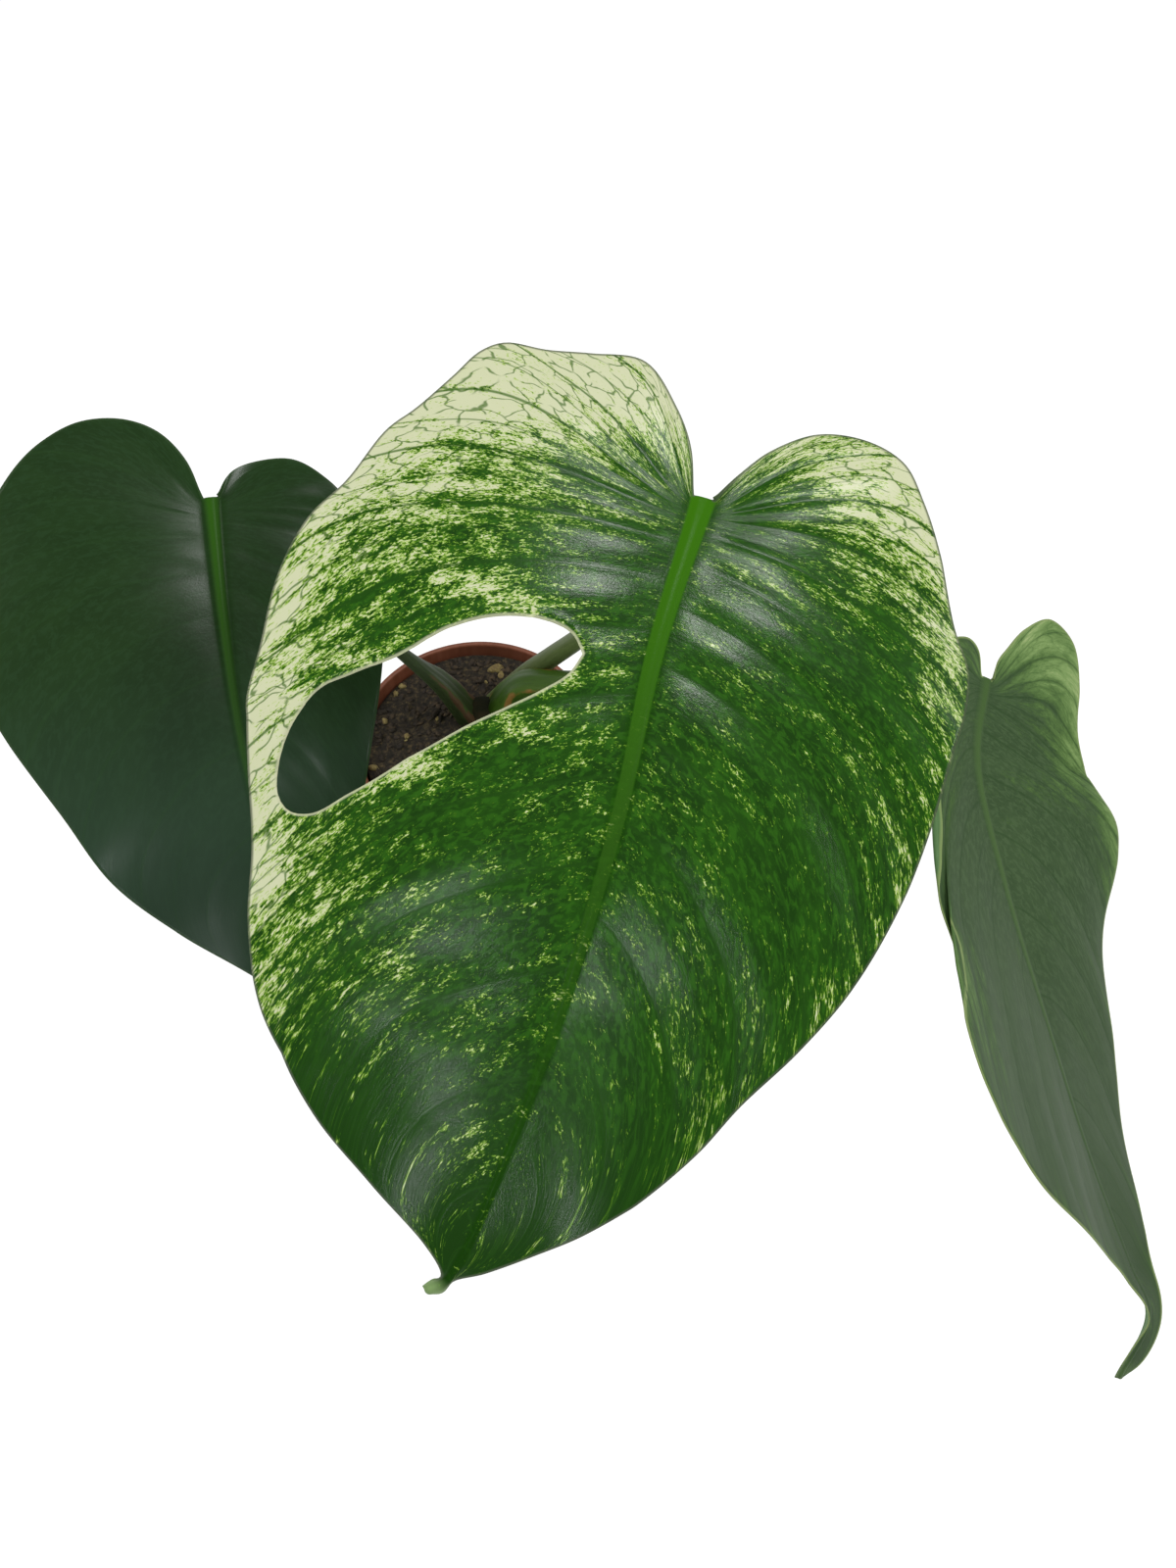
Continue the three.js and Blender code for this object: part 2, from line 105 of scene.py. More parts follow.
def addObject(name, data):
    thing = bpy.data.objects.new(name, data)
    scene.collection.objects.link(thing)
    return thing


def finishPiece(mesh, name, nodeNames, materials):  # a mesh becomes a piece on the root body
    piece = addObject(name, mesh)
    for material in materials:
        mesh.materials.append(material)
    mesh.polygons.foreach_set("use_smooth", [True] * len(mesh.polygons))
    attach(piece, "root")
    if nodeNames:
        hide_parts(*nodeNames)
    return piece


def readPoints(mesh):
    flat = np.zeros(len(mesh.vertices) * 3)
    mesh.vertices.foreach_get("co", flat)
    return flat.reshape(-1, 3)


def writePoints(mesh, points):
    mesh.vertices.foreach_set("co", np.asarray(points, np.float32).ravel())
    mesh.update()


def storeValues(mesh, name, values):  # a float on each vertex, which a material reads by its name
    layer = mesh.attributes.new(name, "FLOAT", "POINT")
    layer.data.foreach_set("value", np.asarray(values, np.float32))


def smoothStep(values, low, high):
    share = np.clip((values - low) / (high - low), 0, 1)
    return share * share * (3 - 2 * share)


def curveAt(points, place):  # a smooth curve through the points, place from 0 to 1
    known = np.array([list(p) + [0.0] * (3 - len(p)) for p in points], float)
    ends = np.vstack([2 * known[0] - known[1], known, 2 * known[-1] - known[-2]])
    along = np.clip(np.atleast_1d(place), 0, 1) * (len(known) - 1)
    first = np.minimum(along.astype(int), len(known) - 2)
    t = (along - first)[:, None]
    a, b, c, d = (ends[first + k] for k in range(4))
    gaps = [np.maximum(np.linalg.norm(q - p, axis=1, keepdims=True), 1e-6) ** 0.5
            for p, q in ((a, b), (b, c), (c, d))]
    leave = ((b - a) / gaps[0] - (c - a) / (gaps[0] + gaps[1]) + (c - b) / gaps[1]) * gaps[1]
    reach = ((c - b) / gaps[1] - (d - b) / (gaps[1] + gaps[2]) + (d - c) / gaps[2]) * gaps[1]
    return b + leave * t + (3 * (c - b) - 2 * leave - reach) * t ** 2 + (2 * (b - c) + leave + reach) * t ** 3


def curveByLength(points, share):  # position and direction at a share of the curve's length
    steps = np.linspace(0, 1, 801)
    dense = curveAt(points, steps)
    lengths = np.concatenate([[0], np.cumsum(np.linalg.norm(np.diff(dense, axis=0), axis=1))])
    place = np.interp(np.clip(share, 0, 1) * lengths[-1], lengths, steps)
    low, high = np.clip(place - 0.0005, 0, 1), np.clip(place + 0.0005, 0, 1)
    direction = curveAt(points, high) - curveAt(points, low)
    return curveAt(points, place), direction / np.linalg.norm(direction, axis=1, keepdims=True)


# Camera at the angle that the plant is seen from, over a pale floor in soft studio light
view = {"place": (56.4, -333, 591.5), "tiltDown": 58, "lens": 27.045}

camera = addObject("camera", bpy.data.cameras.new("camera"))
camera.data.sensor_width = 36
camera.data.lens = view["lens"]
camera.data.clip_start = 0.01
camera.location = Vector(view["place"]) * mm
camera.rotation_euler = (math.radians(90 - view["tiltDown"]), 0, 0)
scene.camera = camera
scene.view_settings.view_transform = "Standard"

studio = {
    "floorHalf": 4.0,  # metres
    "floorColour": "#7c7c7b", "floorRoughness": 0.9, "floorGlow": 0.9,
    "skyStrength": 0.24,
    "lamps": [  # place in metres, size, watts, colour, the point it looks at
        ((0.17, 0.02, 1.63), (0.12, 0.12), 4.4, "#ffffff", (0.05, -0.1, 0.33)),
        ((-0.2, -1.04, 1.26), (0.07, 0.2), 1.4, "#f8fbff", (0.04, -0.2, 0.29)),
        ((-0.29, -1.34, 0.88), (0.1, 0.14), 1.3, "#f8fbff", (0.04, -0.25, 0.25)),
        ((-1.3, -0.1, 1.1), (0.7, 0.7), 10, "#ffffff", (0.0, -0.15, 0.25)),
        ((1.1, -0.3, 1.3), (0.6, 0.6), 10, "#ffffff", (0.05, -0.15, 0.25)),
    ],
}

blank = bmesh.new()
bmesh.ops.create_grid(blank, x_segments=8, y_segments=8, size=studio["floorHalf"])
floor = addObject("floor", toMesh("floor", blank))

# Matt paper sweep: its own even glow shows it plain white, and its grey keeps the bounced light low
floorPaper, tree, shader = newMaterial("paperSweepMatt")
feed(tree, shader, {
    "Base Color": toLinear(studio["floorColour"]),
    "Roughness": studio["floorRoughness"],
    "Emission Color": (1, 1, 1, 1),
    "Emission Strength": studio["floorGlow"],
})
floor.data.materials.append(floorPaper)

world = bpy.data.worlds.new("studioSky")
world.use_nodes = True
sky = world.node_tree.nodes["Background"]
feed(world.node_tree, sky, {"Color": (1, 1, 1, 1), "Strength": studio["skyStrength"]})
scene.world = world

for number, (place, size, watts, colour, target) in enumerate(studio["lamps"]):
    lamp = bpy.data.lights.new(f"softbox{number}", "AREA")
    lamp.shape = "RECTANGLE"
    lamp.size, lamp.size_y = size
    lamp.energy = watts
    lamp.color = toLinear(colour)[:3]
    holder = addObject(f"softbox{number}", lamp)
    holder.location = place
    holder.rotation_euler = (Vector(target) - Vector(place)).to_track_quat("-Z", "Y").to_euler()
print("stage made")


# Leaf blades: drawn flat first, with x across and y along the midrib, then carried by the spine
bladeForm = {
    "rowGathering": 0.06,  # rows stand closer at the notch and the tip
    "fanShare": 0.22,  # share of the rows that fan out from the notch
    "fanSpread": 5,  # and the length of midrib that they leave from
    "rowCurve": 1.8,  # the other rows leave the midrib further and further apart
    "veinSweep": 1.35,
    "marginSweep": 0.06,  # how far the veins turn to the tip near the margin
    "sweepCurve": 3.5,
    "veinWobble": 0.006, "wobbleSize": 38,
    "ribColumns": 5, "ribWidthAtTip": 0.8, "ribRise": 0.9, "ribDrop": 1.8,
    "ribEnd": 1.15,  # half widths out, where the raised midrib meets the blade
    "ribCurve": 1.6,
    "keelFrom": (-1, 7),  # places along the midrib where the keel begins and is full
    "thickness": 0.6,
    "marginShare": 0.55,  # share of the thickness that is left at the margin
    "marginWidth": 2.5,
    "veinKeel": 0.35, "wallSpare": 0.4, "grooveWidth": 1.1, "quiltSink": 0.35,
    "quiltRoom": (4, 12),  # gaps between veins where the quilting begins and is full
    "fadeIn": (9, 7, 5),  # the relief grows over this far from the midrib, margin and window
    "calmFrom": (0.6, 0.85),  # shares of the length where the tip grows calm and is calmest
    "calmQuilt": 0.75, "calmWaves": 0.6,
    "lip": {"rise": 0.45, "inward": 1.1, "width": 1.0},  # raised lip around the window
    "snapWithin": 3,  # points this near to the window's line are drawn onto it
    "rippleWaves": 4.5,  # ripples along each half of the margin
    "waveSize": 24, "waveRise": 0.3,
    "streakSize": 6,  # streaks across the veins, drawn out along them
    "streakStretch": 4, "streakRise": 0.13, "flowWidth": 0.8,
}
flowUnit = 100  # mm in one unit of the veinFlow map

leaves = {
    "left": {
        "length": 182, "ribWidth": 3, "veins": 11, "rows": 170, "columns": 58,
        "ripple": 1.5, "quilt": 0.1, "groove": 0.06,
        "spine": [
            (-71, -40, 305), (-64.2, -81.6, 287.6), (-56.2, -121, 268), (-45.2, -158.3, 241),
            (-32.5, -190.5, 213.5),
        ],
        "facings": [(0.15, -0.45, 0.9), (0.15, -0.4, 0.9), (0.15, -0.35, 0.9)],
        "bends": [(6, 6, 0.2), (5, 5, 0.17), (4, 4, 0.14)],
        "leftEdge": [
            (-2.5, 0), (-7, -14), (-15.5, -25), (-27.5, -31), (-41, -31), (-54, -23.5), (-66, -10),
            (-77, 8), (-82, 30), (-80, 52), (-72.5, 72), (-58.5, 98), (-48.5, 120), (-35, 138.5),
            (-19, 156), (-8, 170), (-1.6, 182),
        ],
        "rightEdge": [
            (2.5, 0), (7.5, -8.5), (16, -12), (28, -11.5), (38.5, -3), (48, 11), (53, 31), (52.5, 50),
            (49.5, 65), (45, 82), (37.5, 104), (28, 128), (17, 152), (8, 168), (1.6, 182),
        ],
        "cream": {"base": 0.02, "margin": 0, "patches": []},
        "stalk": [
            (-3, 13, 98), (-15.5, 12, 130), (-31.5, 8, 163), (-45, -4, 207), (-61, -20, 257),
            (-72, -38.5, 289), (-70.8, -42.7, 301.1),
        ],
        "stalkRadius": (6.5, 2.7), "stalkTaper": 0.34, "sheathWing": 0.75, "sheathShare": 0.3,
    },
    "main": {
        "length": 244, "ribWidth": 3.6, "veins": 14, "rows": 230, "columns": 84,
        "ripple": 1.6, "quilt": 0.28, "groove": 0.12,
        "spine": [
            (89.8, -83.1, 346.9), (75.5, -125.8, 331.5), (65, -168.6, 313.3), (50.5, -210.8, 288.5),
            (34.4, -246.5, 261.5), (16.9, -275.6, 236.4), (10.3, -278, 232),
        ],
        "facings": [(-0.05, -0.45, 0.9), (0, -0.4, 0.9), (0.05, -0.35, 0.9)],
        "bends": [(6, 6, 0.14), (5, 5, 0.13), (4, 4, 0.11)],
        "leftEdge": [
            (-3, 0), (-8, -13.5), (-15.5, -24), (-29, -36), (-45, -34.5), (-58, -32), (-70.5, -30.5),
            (-76.5, -25.5), (-81.5, -15), (-87.5, -4), (-95, 7), (-101.5, 25), (-108.5, 36), (-111.5, 50),
            (-110, 68), (-109.5, 87), (-104, 111), (-96, 135), (-89.5, 157.5), (-76, 185), (-54, 206),
            (-32, 218), (-11, 228.5), (-2, 236), (-2.4, 240), (-1.7, 244),
        ],
        "rightEdge": [
            (3, 0), (8, -10), (14.5, -20), (26, -29), (39.5, -30.5), (52, -26), (60.5, -15.5), (68, -4),
            (78.5, 15), (85.5, 26.5), (87.3, 41), (86, 60), (83.5, 85), (79, 106), (73, 123.5),
            (64.5, 141), (55, 159), (48.5, 175), (38.5, 192), (28, 206), (18, 217), (8, 228.5),
            (1.7, 236), (2.4, 240), (1.7, 244),
        ],
        "window": [
            (-19.5, 54), (-24, 49.5), (-33, 48), (-45.5, 50), (-58, 55.5), (-69.5, 64.5), (-81, 71.5),
            (-89.5, 78), (-94, 90), (-95.5, 106), (-93, 117), (-88.5, 120.5), (-82, 119), (-74, 110.5),
            (-67.5, 103.5), (-57, 91), (-47.5, 81), (-37.5, 73), (-29, 66.5), (-22, 60),
        ],
        "cream": {"base": 0.055, "margin": 0.18, "patches": [  # place and half sizes in mm, amount
            (-40, -26, 40, 19, 0.95), (-64, -6, 24, 12, 0.3), (-78, -16, 22, 15, 0.7),
            (-98, 10, 17, 18, 0.65), (-82, 30, 30, 28, 0.3), (-50, 16, 32, 24, 0.24),
            (-45, 44, 40, 6, 0.15), (-108, 56, 13, 40, 0.5), (-103, 104, 12, 32, 0.64),
            (-93, 140, 12, 22, 0.52), (-78, 174, 11, 18, 0.28), (-58, 98, 11, 6, 0.5),
            (-34, 76, 18, 6, 0.35), (-82, 66, 14, 7, 0.3), (-45, 44, 24, 5, 0.2),
            (-70, 134, 24, 28, 0.22), (-46, 160, 20, 26, 0.1), (40, -20, 30, 15, 0.6),
            (56, 2, 26, 20, 0.3), (64, -12, 17, 18, 0.3), (78, 24, 11, 26, 0.28),
            (82, 70, 7, 42, 0.1), (71, 126, 9, 24, 0.06), (-10, 230, 80, 40, -0.6),
        ]},
        "stalk": [
            (6, 20, 98), (25.5, 25.9, 120), (38.4, 19.8, 142), (50.6, 9, 168), (61.9, -5, 198),
            (70.5, -24, 246), (80, -46, 285), (88.5, -80.5, 329), (88.6, -85.8, 343.2),
        ],
        "stalkRadius": (6.2, 4.3), "stalkTaper": 0.4, "sheathWing": 0.1, "sheathShare": 0.15,
    },
    "right": {
        "length": 241, "ribWidth": 3, "veins": 12, "rows": 190, "columns": 56,
        "ripple": 1.2, "quilt": 0.3, "groove": 0.25,
        "spine": [
            (188.8, -95, 277.2), (184, -121, 267.4), (190.5, -160, 252.5), (202, -199, 234),
            (216, -236, 211), (230, -263, 190), (238.5, -277, 176), (229, -294, 164.5),
        ],
        "facings": [
            (0.75, -0.145, 0.645), (0.76, -0.145, 0.63), (0.79, -0.145, 0.6), (0.8, -0.145, 0.58),
            (0.79, -0.15, 0.59), (0.45, -0.3, 0.84),
        ],
        "bends": [
            (-4, 24, 0.12), (0, 23, 0.12), (7, 17.5, 0.12), (8, 10.5, 0.12), (8, 9, 0.12), (8, 8, 0.12),
        ],
        "leftEdge": [
            (-2.5, 0), (-7, -7), (-14, -9), (-23, -6), (-31, 1), (-37, 10), (-39, 20), (-36.5, 31),
            (-33.8, 42.8), (-44.3, 58.8), (-53.9, 70.1), (-56.2, 80.2), (-63.1, 88.7), (-73.8, 96.1),
            (-77.8, 107.1), (-74.2, 118.2), (-65.7, 129.2), (-54.4, 144.1), (-42.7, 157.2), (-30, 170.3),
            (-18.9, 181.4), (-9.7, 193.2), (-5, 206.1), (-4.6, 224), (-2.2, 241),
        ],
        "rightEdge": [
            (2.5, 0), (4, -7), (8.5, -13.3), (16.5, -22.7), (27.4, -29.4), (37.6, -24), (41.4, -8.6),
            (42.9, 4.1), (52.1, 17.1), (58, 30), (62.6, 42.4), (67.1, 56.3), (65.7, 66.7), (62.5, 78.2),
            (54.7, 93.2), (47.6, 106.9), (42.7, 121.5), (40.4, 135.6), (37.5, 150.1), (31.7, 165.9),
            (23.5, 181.6), (14.8, 195.9), (8.5, 208), (7.5, 222), (6, 234), (2.2, 241),
        ],
        "cream": {"base": 0.1, "margin": 0.15, "patches": [
            (26, -14, 26, 20, 0.5), (46, 20, 14, 24, 0.3), (62, 60, 9, 28, 0.28),
            (-62, 92, 16, 22, 0.15), (-26, 14, 10, 26, 0.25),
        ]},
        "stalk": [
            (13, 13, 98), (16.5, 13.5, 111), (24.5, 13.5, 124), (46, 2.5, 142.5), (88, -19, 186),
            (130, -52, 232), (176.4, -92.2, 266.5), (186.3, -97.2, 274.5),
        ],
        "stalkRadius": (9.5, 3.6), "stalkTaper": 0.5, "sheathWing": 0.35, "sheathShare": 0.3,
    },
}


def ribHalfWidth(leaf, y):
    share = np.sqrt(np.clip(y / leaf["length"], 0, 1))
    return leaf["ribWidth"] + (bladeForm["ribWidthAtTip"] - leaf["ribWidth"]) * share


def bladeFrame(leaf, y):  # the midrib's point, its way along, its upper side and its way across
    share = np.clip(y / leaf["length"], 0, 1)
    origin, along = curveByLength(leaf["spine"], share)
    origin = origin + along * (y - share * leaf["length"])[:, None]
    facing = curveAt(leaf["facings"], share)
    facing = facing - along * np.sum(facing * along, axis=1, keepdims=True)
    facing = facing / np.linalg.norm(facing, axis=1, keepdims=True)
    return origin, along, facing, np.cross(facing, along)


def bladePoint(leaf, x, y, lift):  # flat place on the blade to its point in space, in mm
    origin, _, facing, across = bladeFrame(leaf, y)
    bend = curveAt(leaf["bends"], np.clip(y / leaf["length"], 0, 1))
    raised = np.where(x < 0, bend[:, 0], bend[:, 1])
    angle = np.radians(raised - bend[:, 2] * np.abs(x) / 2)
    sideways = (x * np.cos(angle))[:, None]
    upwards = (np.abs(x) * np.sin(angle) + lift)[:, None]
    return origin + across * sideways + facing * upwards


def distanceToLine(points, line):  # shortest way from each flat point to a run of short pieces
    best = np.full(len(points), 1e9)
    nearest = np.zeros_like(points)
    for a, b in zip(line[:-1], line[1:]):
        step = b - a
        share = np.clip(((points - a) @ step) / max(step @ step, 1e-9), 0, 1)
        spot = a + share[:, None] * step
        gap = np.linalg.norm(points - spot, axis=1)
        closer = gap < best
        best[closer] = gap[closer]
        nearest[closer] = spot[closer]
    return best, nearest


def insideLine(points, line):  # True for the points inside a closed line
    inside = np.zeros(len(points), bool)
    for a, b in zip(line[:-1], line[1:]):
        if a[1] == b[1]:
            continue
        crosses = (a[1] > points[:, 1]) != (b[1] > points[:, 1])
        meets = a[0] + (points[:, 1] - a[1]) / (b[1] - a[1]) * (b[0] - a[0])
        inside ^= crosses & (points[:, 0] < meets)
    return inside


def waveField(x, y, size, seed):  # soft noise over the flat blade, from -1 to 1
    return np.array([noise.noise(Vector((a / size, b / size, seed))) for a, b in zip(x, y)])


def flatGrid(leaf, mesh):  # flat places of a blade's grid, with its rows along the veins
    form = bladeForm
    grid = readPoints(mesh)
    side = np.sign(grid[:, 0])
    column = np.abs(grid[:, 0])
    even = (grid[:, 1] + 1) / 2
    edgeShare = even - form["rowGathering"] * np.sin(2 * np.pi * even)
    edges = [curveByLength(leaf[key], edgeShare)[0] for key in ("leftEdge", "rightEdge")]
    edge = np.where((side < 0)[:, None], *edges)
    past = np.maximum(0, (edgeShare - form["fanShare"]) / (1 - form["fanShare"]))
    spread = form["fanSpread"] * np.minimum(1, edgeShare / form["fanShare"])
    start = spread + (leaf["length"] - spread) * past ** form["rowCurve"]
    reach = np.hypot(edge[:, 0], edge[:, 1] - start)
    ribHalf = np.minimum(ribHalfWidth(leaf, start), 0.95 * np.abs(edge[:, 0]))  # it fits inside the tip
    ribShare = np.minimum(ribHalf / np.maximum(reach, 1e-6), 0.3)
    ribPlace = form["ribColumns"] / leaf["columns"]
    inRib = np.minimum(column / ribPlace, 1)
    pastRib = np.maximum((column - ribPlace) / (1 - ribPlace), 0)
    share = ribShare * inRib + (1 - ribShare) * pastRib
    x = side * (ribHalf * inRib + (np.abs(edge[:, 0]) - ribHalf) * pastRib)
    y = start + (edge[:, 1] - start) * pastRib ** form["veinSweep"]
    return dict(side=side, edgeShare=edgeShare, past=past, reach=reach, share=share, x=x, y=y)


def cutWindow(leaf, sheet, mesh, flat):  # opens the natural window and draws its rim onto the line
    ring = leaf["window"] + leaf["window"][:1]
    line = curveAt(ring, np.linspace(0, 1, 241))[:, :2]
    places = np.column_stack([flat["x"], flat["y"]])
    gap, nearest = distanceToLine(places, line)
    gap = np.where(insideLine(places, line), -gap, gap)
    doomed = [f for f in sheet.faces if sum(gap[v.index] for v in f.verts) < 0]
    bmesh.ops.delete(sheet, geom=doomed, context="FACES")
    sheet.verts.index_update()
    lookup = {(round(p[0], 5), round(p[1], 5)): i for i, p in enumerate(readPoints(mesh))}
    order = np.array([lookup[(round(v.co.x, 5), round(v.co.y, 5))] for v in sheet.verts])
    onRim = np.array([any(e.is_boundary for e in v.link_edges) for v in sheet.verts])
    sheet.to_mesh(mesh)
    flat = {key: values[order] for key, values in flat.items()}
    gap, nearest = gap[order], nearest[order]
    snapped = onRim & (np.abs(gap) < bladeForm["snapWithin"]) & (flat["edgeGap"] > 0.5)
    flat["x"] = np.where(snapped, nearest[:, 0], flat["x"])
    flat["y"] = np.where(snapped, nearest[:, 1], flat["y"])
    flat["windowGap"] = np.where(snapped, 0, np.maximum(gap, 0))
    return flat


def measureVeins(leaf, flat, edgeLength):  # which vein a place is near, and how far apart they are there
    form = bladeForm
    wobble = waveField(flat["x"], flat["y"], form["wobbleSize"], 3.1 + leaf["length"])
    swept = form["marginSweep"] * flat["share"] ** form["sweepCurve"]
    bent = flat["edgeShare"] - swept + form["veinWobble"] * wobble
    flat["veinPlace"] = bent * leaf["veins"] + 0.5 * (flat["side"] > 0)
    slope = form["rowCurve"] * leaf["length"] * flat["past"] ** (form["rowCurve"] - 1)
    nearRib = np.where(flat["past"] > 0, slope / (1 - form["fanShare"]), form["fanSpread"] / form["fanShare"])
    flat["veinGap"] = (nearRib + (edgeLength - nearRib) * flat["share"]) / leaf["veins"]
    flat["alongMm"] = flat["side"] * flat["share"] * flat["reach"]
    flat["acrossMm"] = bent * edgeLength * form["flowWidth"]


def bladeRelief(leaf, flat):  # how far each place rises and how thick the wall is there, in mm
    form = bladeForm
    x, y, edgeGap, windowGap = (flat[key] for key in ("x", "y", "edgeGap", "windowGap"))
    fromVein = np.abs(flat["veinPlace"] - np.round(flat["veinPlace"]))
    grooves = np.exp(-(fromVein * flat["veinGap"] / form["grooveWidth"]) ** 2)
    ribHalf = ribHalfWidth(leaf, y)
    flat["acrossRib"] = np.abs(x) / ribHalf
    ribProfile = np.cos(np.pi / 2 * np.minimum(flat["acrossRib"] / form["ribEnd"], 1)) ** form["ribCurve"]
    rib = ribProfile * np.minimum(1, ribHalf / leaf["ribWidth"] + 0.1)
    fromRib, fromMargin, fromWindow = form["fadeIn"]
    body = smoothStep(np.abs(x), ribHalf, ribHalf + fromRib)
    body = body * smoothStep(edgeGap, 0, fromMargin) * smoothStep(windowGap, 0, fromWindow)
    calm = smoothStep(y, *(part * leaf["length"] for part in form["calmFrom"]))
    roomy = smoothStep(flat["veinGap"], *form["quiltRoom"]) * (1 - form["calmQuilt"] * calm)
    pillow = 0.5 - np.cos(2 * np.pi * flat["veinPlace"]) * 0.5 - form["quiltSink"]
    phase = flat["edgeShare"] * form["rippleWaves"] * 2 * np.pi + np.where(x < 0, 0, 2)
    fromLip = (windowGap - form["lip"]["inward"]) / form["lip"]["width"]
    waves = form["waveRise"] * waveField(x, y, form["waveSize"], 7.7)
    alongStreak = flat["alongMm"] / form["streakStretch"]
    waves = waves + form["streakRise"] * waveField(alongStreak, flat["acrossMm"], form["streakSize"], 4.4)

    lift = leaf["ripple"] * flat["share"] ** 2 * np.sin(phase)
    lift = lift + rib * form["ribRise"]
    lift = lift - leaf["groove"] * grooves * body * roomy
    lift = lift + leaf["quilt"] * body * roomy * pillow
    lift = lift + form["lip"]["rise"] * np.exp(-fromLip ** 2)
    lift = lift + waves * body * (1 - form["calmWaves"] * calm)
    inward = smoothStep(np.minimum(edgeGap, windowGap), 0, form["marginWidth"])
    wall = form["thickness"] * (form["marginShare"] + (1 - form["marginShare"]) * inward)
    wall = wall + rib * form["ribRise"]
    wall = wall + rib * form["ribDrop"] * smoothStep(y, *form["keelFrom"])
    wall = wall + form["veinKeel"] * grooves * body * roomy
    return lift, wall


def creamAmount(leaf, flat):  # how much of a place is cream, before the marbling
    cream = leaf["cream"]
    amount = np.full(len(flat["x"]), float(cream["base"]))
    for px, py, wide, tall, strength in cream["patches"]:
        off = ((flat["x"] - px) / wide) ** 2 + ((flat["y"] - py) / tall) ** 2
        amount = amount + strength * np.exp(-off)
    amount = amount + cream["margin"] * np.exp(-flat["edgeGap"] / leafMargins["margin"])
    rim = np.exp(-(flat["windowGap"] / leafMargins["window"]) ** 2)
    return np.clip(amount + leafMargins["windowCream"] * rim, 0, 1)


def bladeMesh(name, leaf):
    sheet = bmesh.new()
    bmesh.ops.create_grid(sheet, x_segments=2 * leaf["columns"], y_segments=leaf["rows"], size=1)
    bmesh.ops.reverse_faces(sheet, faces=sheet.faces[:])
    mesh = bpy.data.meshes.new(name)
    sheet.to_mesh(mesh)
    flat = flatGrid(leaf, mesh)
    steps = np.linspace(0, 1, 260)
    sideEdges = [curveByLength(leaf[key], steps)[0][:, :2] for key in ("leftEdge", "rightEdge")]
    border = np.vstack([sideEdges[0], sideEdges[1][::-1]])
    flat["edgeGap"] = distanceToLine(np.column_stack([flat["x"], flat["y"]]), border)[0]
    flat["windowGap"] = np.full(len(flat["x"]), 99.0)  # far from any window
    if "window" in leaf:
        flat = cutWindow(leaf, sheet, mesh, flat)
    sheet.free()

    edgeLength = 0.5 * sum(np.linalg.norm(np.diff(edge, axis=0), axis=1).sum() for edge in sideEdges)
    measureVeins(leaf, flat, edgeLength)
    lift, wall = bladeRelief(leaf, flat)
    writePoints(mesh, bladePoint(leaf, flat["x"], flat["y"], lift) * mm)
    flat["alongRib"] = np.clip(flat["y"] / leaf["length"], 0, 1)
    flat["creamShare"] = creamAmount(leaf, flat)
    for key in skinMeasures:
        storeValues(mesh, key, flat[key])
    flow = mesh.uv_layers.new(name="veinFlow")  # along the vein and across the veins
    corner = np.zeros(len(mesh.loops), np.int32)
    mesh.loops.foreach_get("vertex_index", corner)
    places = np.column_stack([flat["alongMm"], flat["acrossMm"]]) / flowUnit
    flow.data.foreach_set("uv", places[corner].astype(np.float32).ravel())
    return mesh, wall


# What each point of a blade keeps for its skin to read
skinMeasures = ("veinPlace", "veinGap", "edgeGap", "windowGap", "acrossRib", "alongRib", "creamShare")

# Widths over which the cream at the margin and the window's rim dies away, and the rim's amount
leafMargins = {"margin": 6, "window": 3.5, "windowCream": 0.18}

# Grain of a leaf in mm along and across its veins, with its detail and roughness
leafGrains = {
    "patches": (38, 20, 2.0, 0.5),
    "clusters": (9, 3.4, 3.0, 0.6),
    "flecks": (1.35, 0.65, 3.0, 0.7),
    "greens": (26, 12, 3.0, 0.55),
    "mottle": (3.2, 1.8, 3.0, 0.6),
    "breaks": (9, 7, 1.0, 0.5),
    "crinkle": (0.95, 0.7, 2.0, 0.6),
}

# Soft bands that the skin is drawn with: what is measured, where it is full and where it is gone
leafBands = {
    "mainVein": ("mainGap", 0.2, 0.8), "byMain": ("mainGap", 0.2, 3.2),
    "fineVein": ("fineGap", 0.1, 0.5), "byFine": ("fineGap", 0.1, 1.8),
    "netLine": ("net", 0.015, 0.065), "byNet": ("net", 0.0, 0.2),
    "outer": ("edgeGap", 22, 48),
    "whole": ("breaks", 0.47, 0.33),
    # painted shade in the creases beside the midrib; the same band also takes the wax off there
    "ribShade": ("acrossRib", 1.15, 2.1),
    "ribFade": ("alongRib", 0.1, 1.0),
    "edge": ("edgeGap", 0.25, 0.9),
    "calm": ("alongRib", 0.62, 0.9),
    "low": ("alongRib", 0.7, 0.2),
    # painted sheen: this band lays a greyer tone over the blade, growing towards the tip
    "tip": ("alongRib", 0.99, 0.965),
    "window": ("windowGap", 0.3, 1.0),
    "lighter": ("greens", 0.62, 0.4),
    "fresher": ("mottle", 0.66, 0.42),
}

# Cells of the net veins in mm along and across, and how far their lines are shaken
leafNet = {"cellMm": (8.5, 5.2), "shake": 0.7, "shakeScale": 1.2}

# How strongly each kind of vein holds the green around it, and how deep it is sunk
veinHold = {"byMain": 1.0, "byFine": 0.6, "byNet": 0.4}
veinSink = {"netLine": 0.2, "fineVein": 0.25, "mainVein": 0.35}


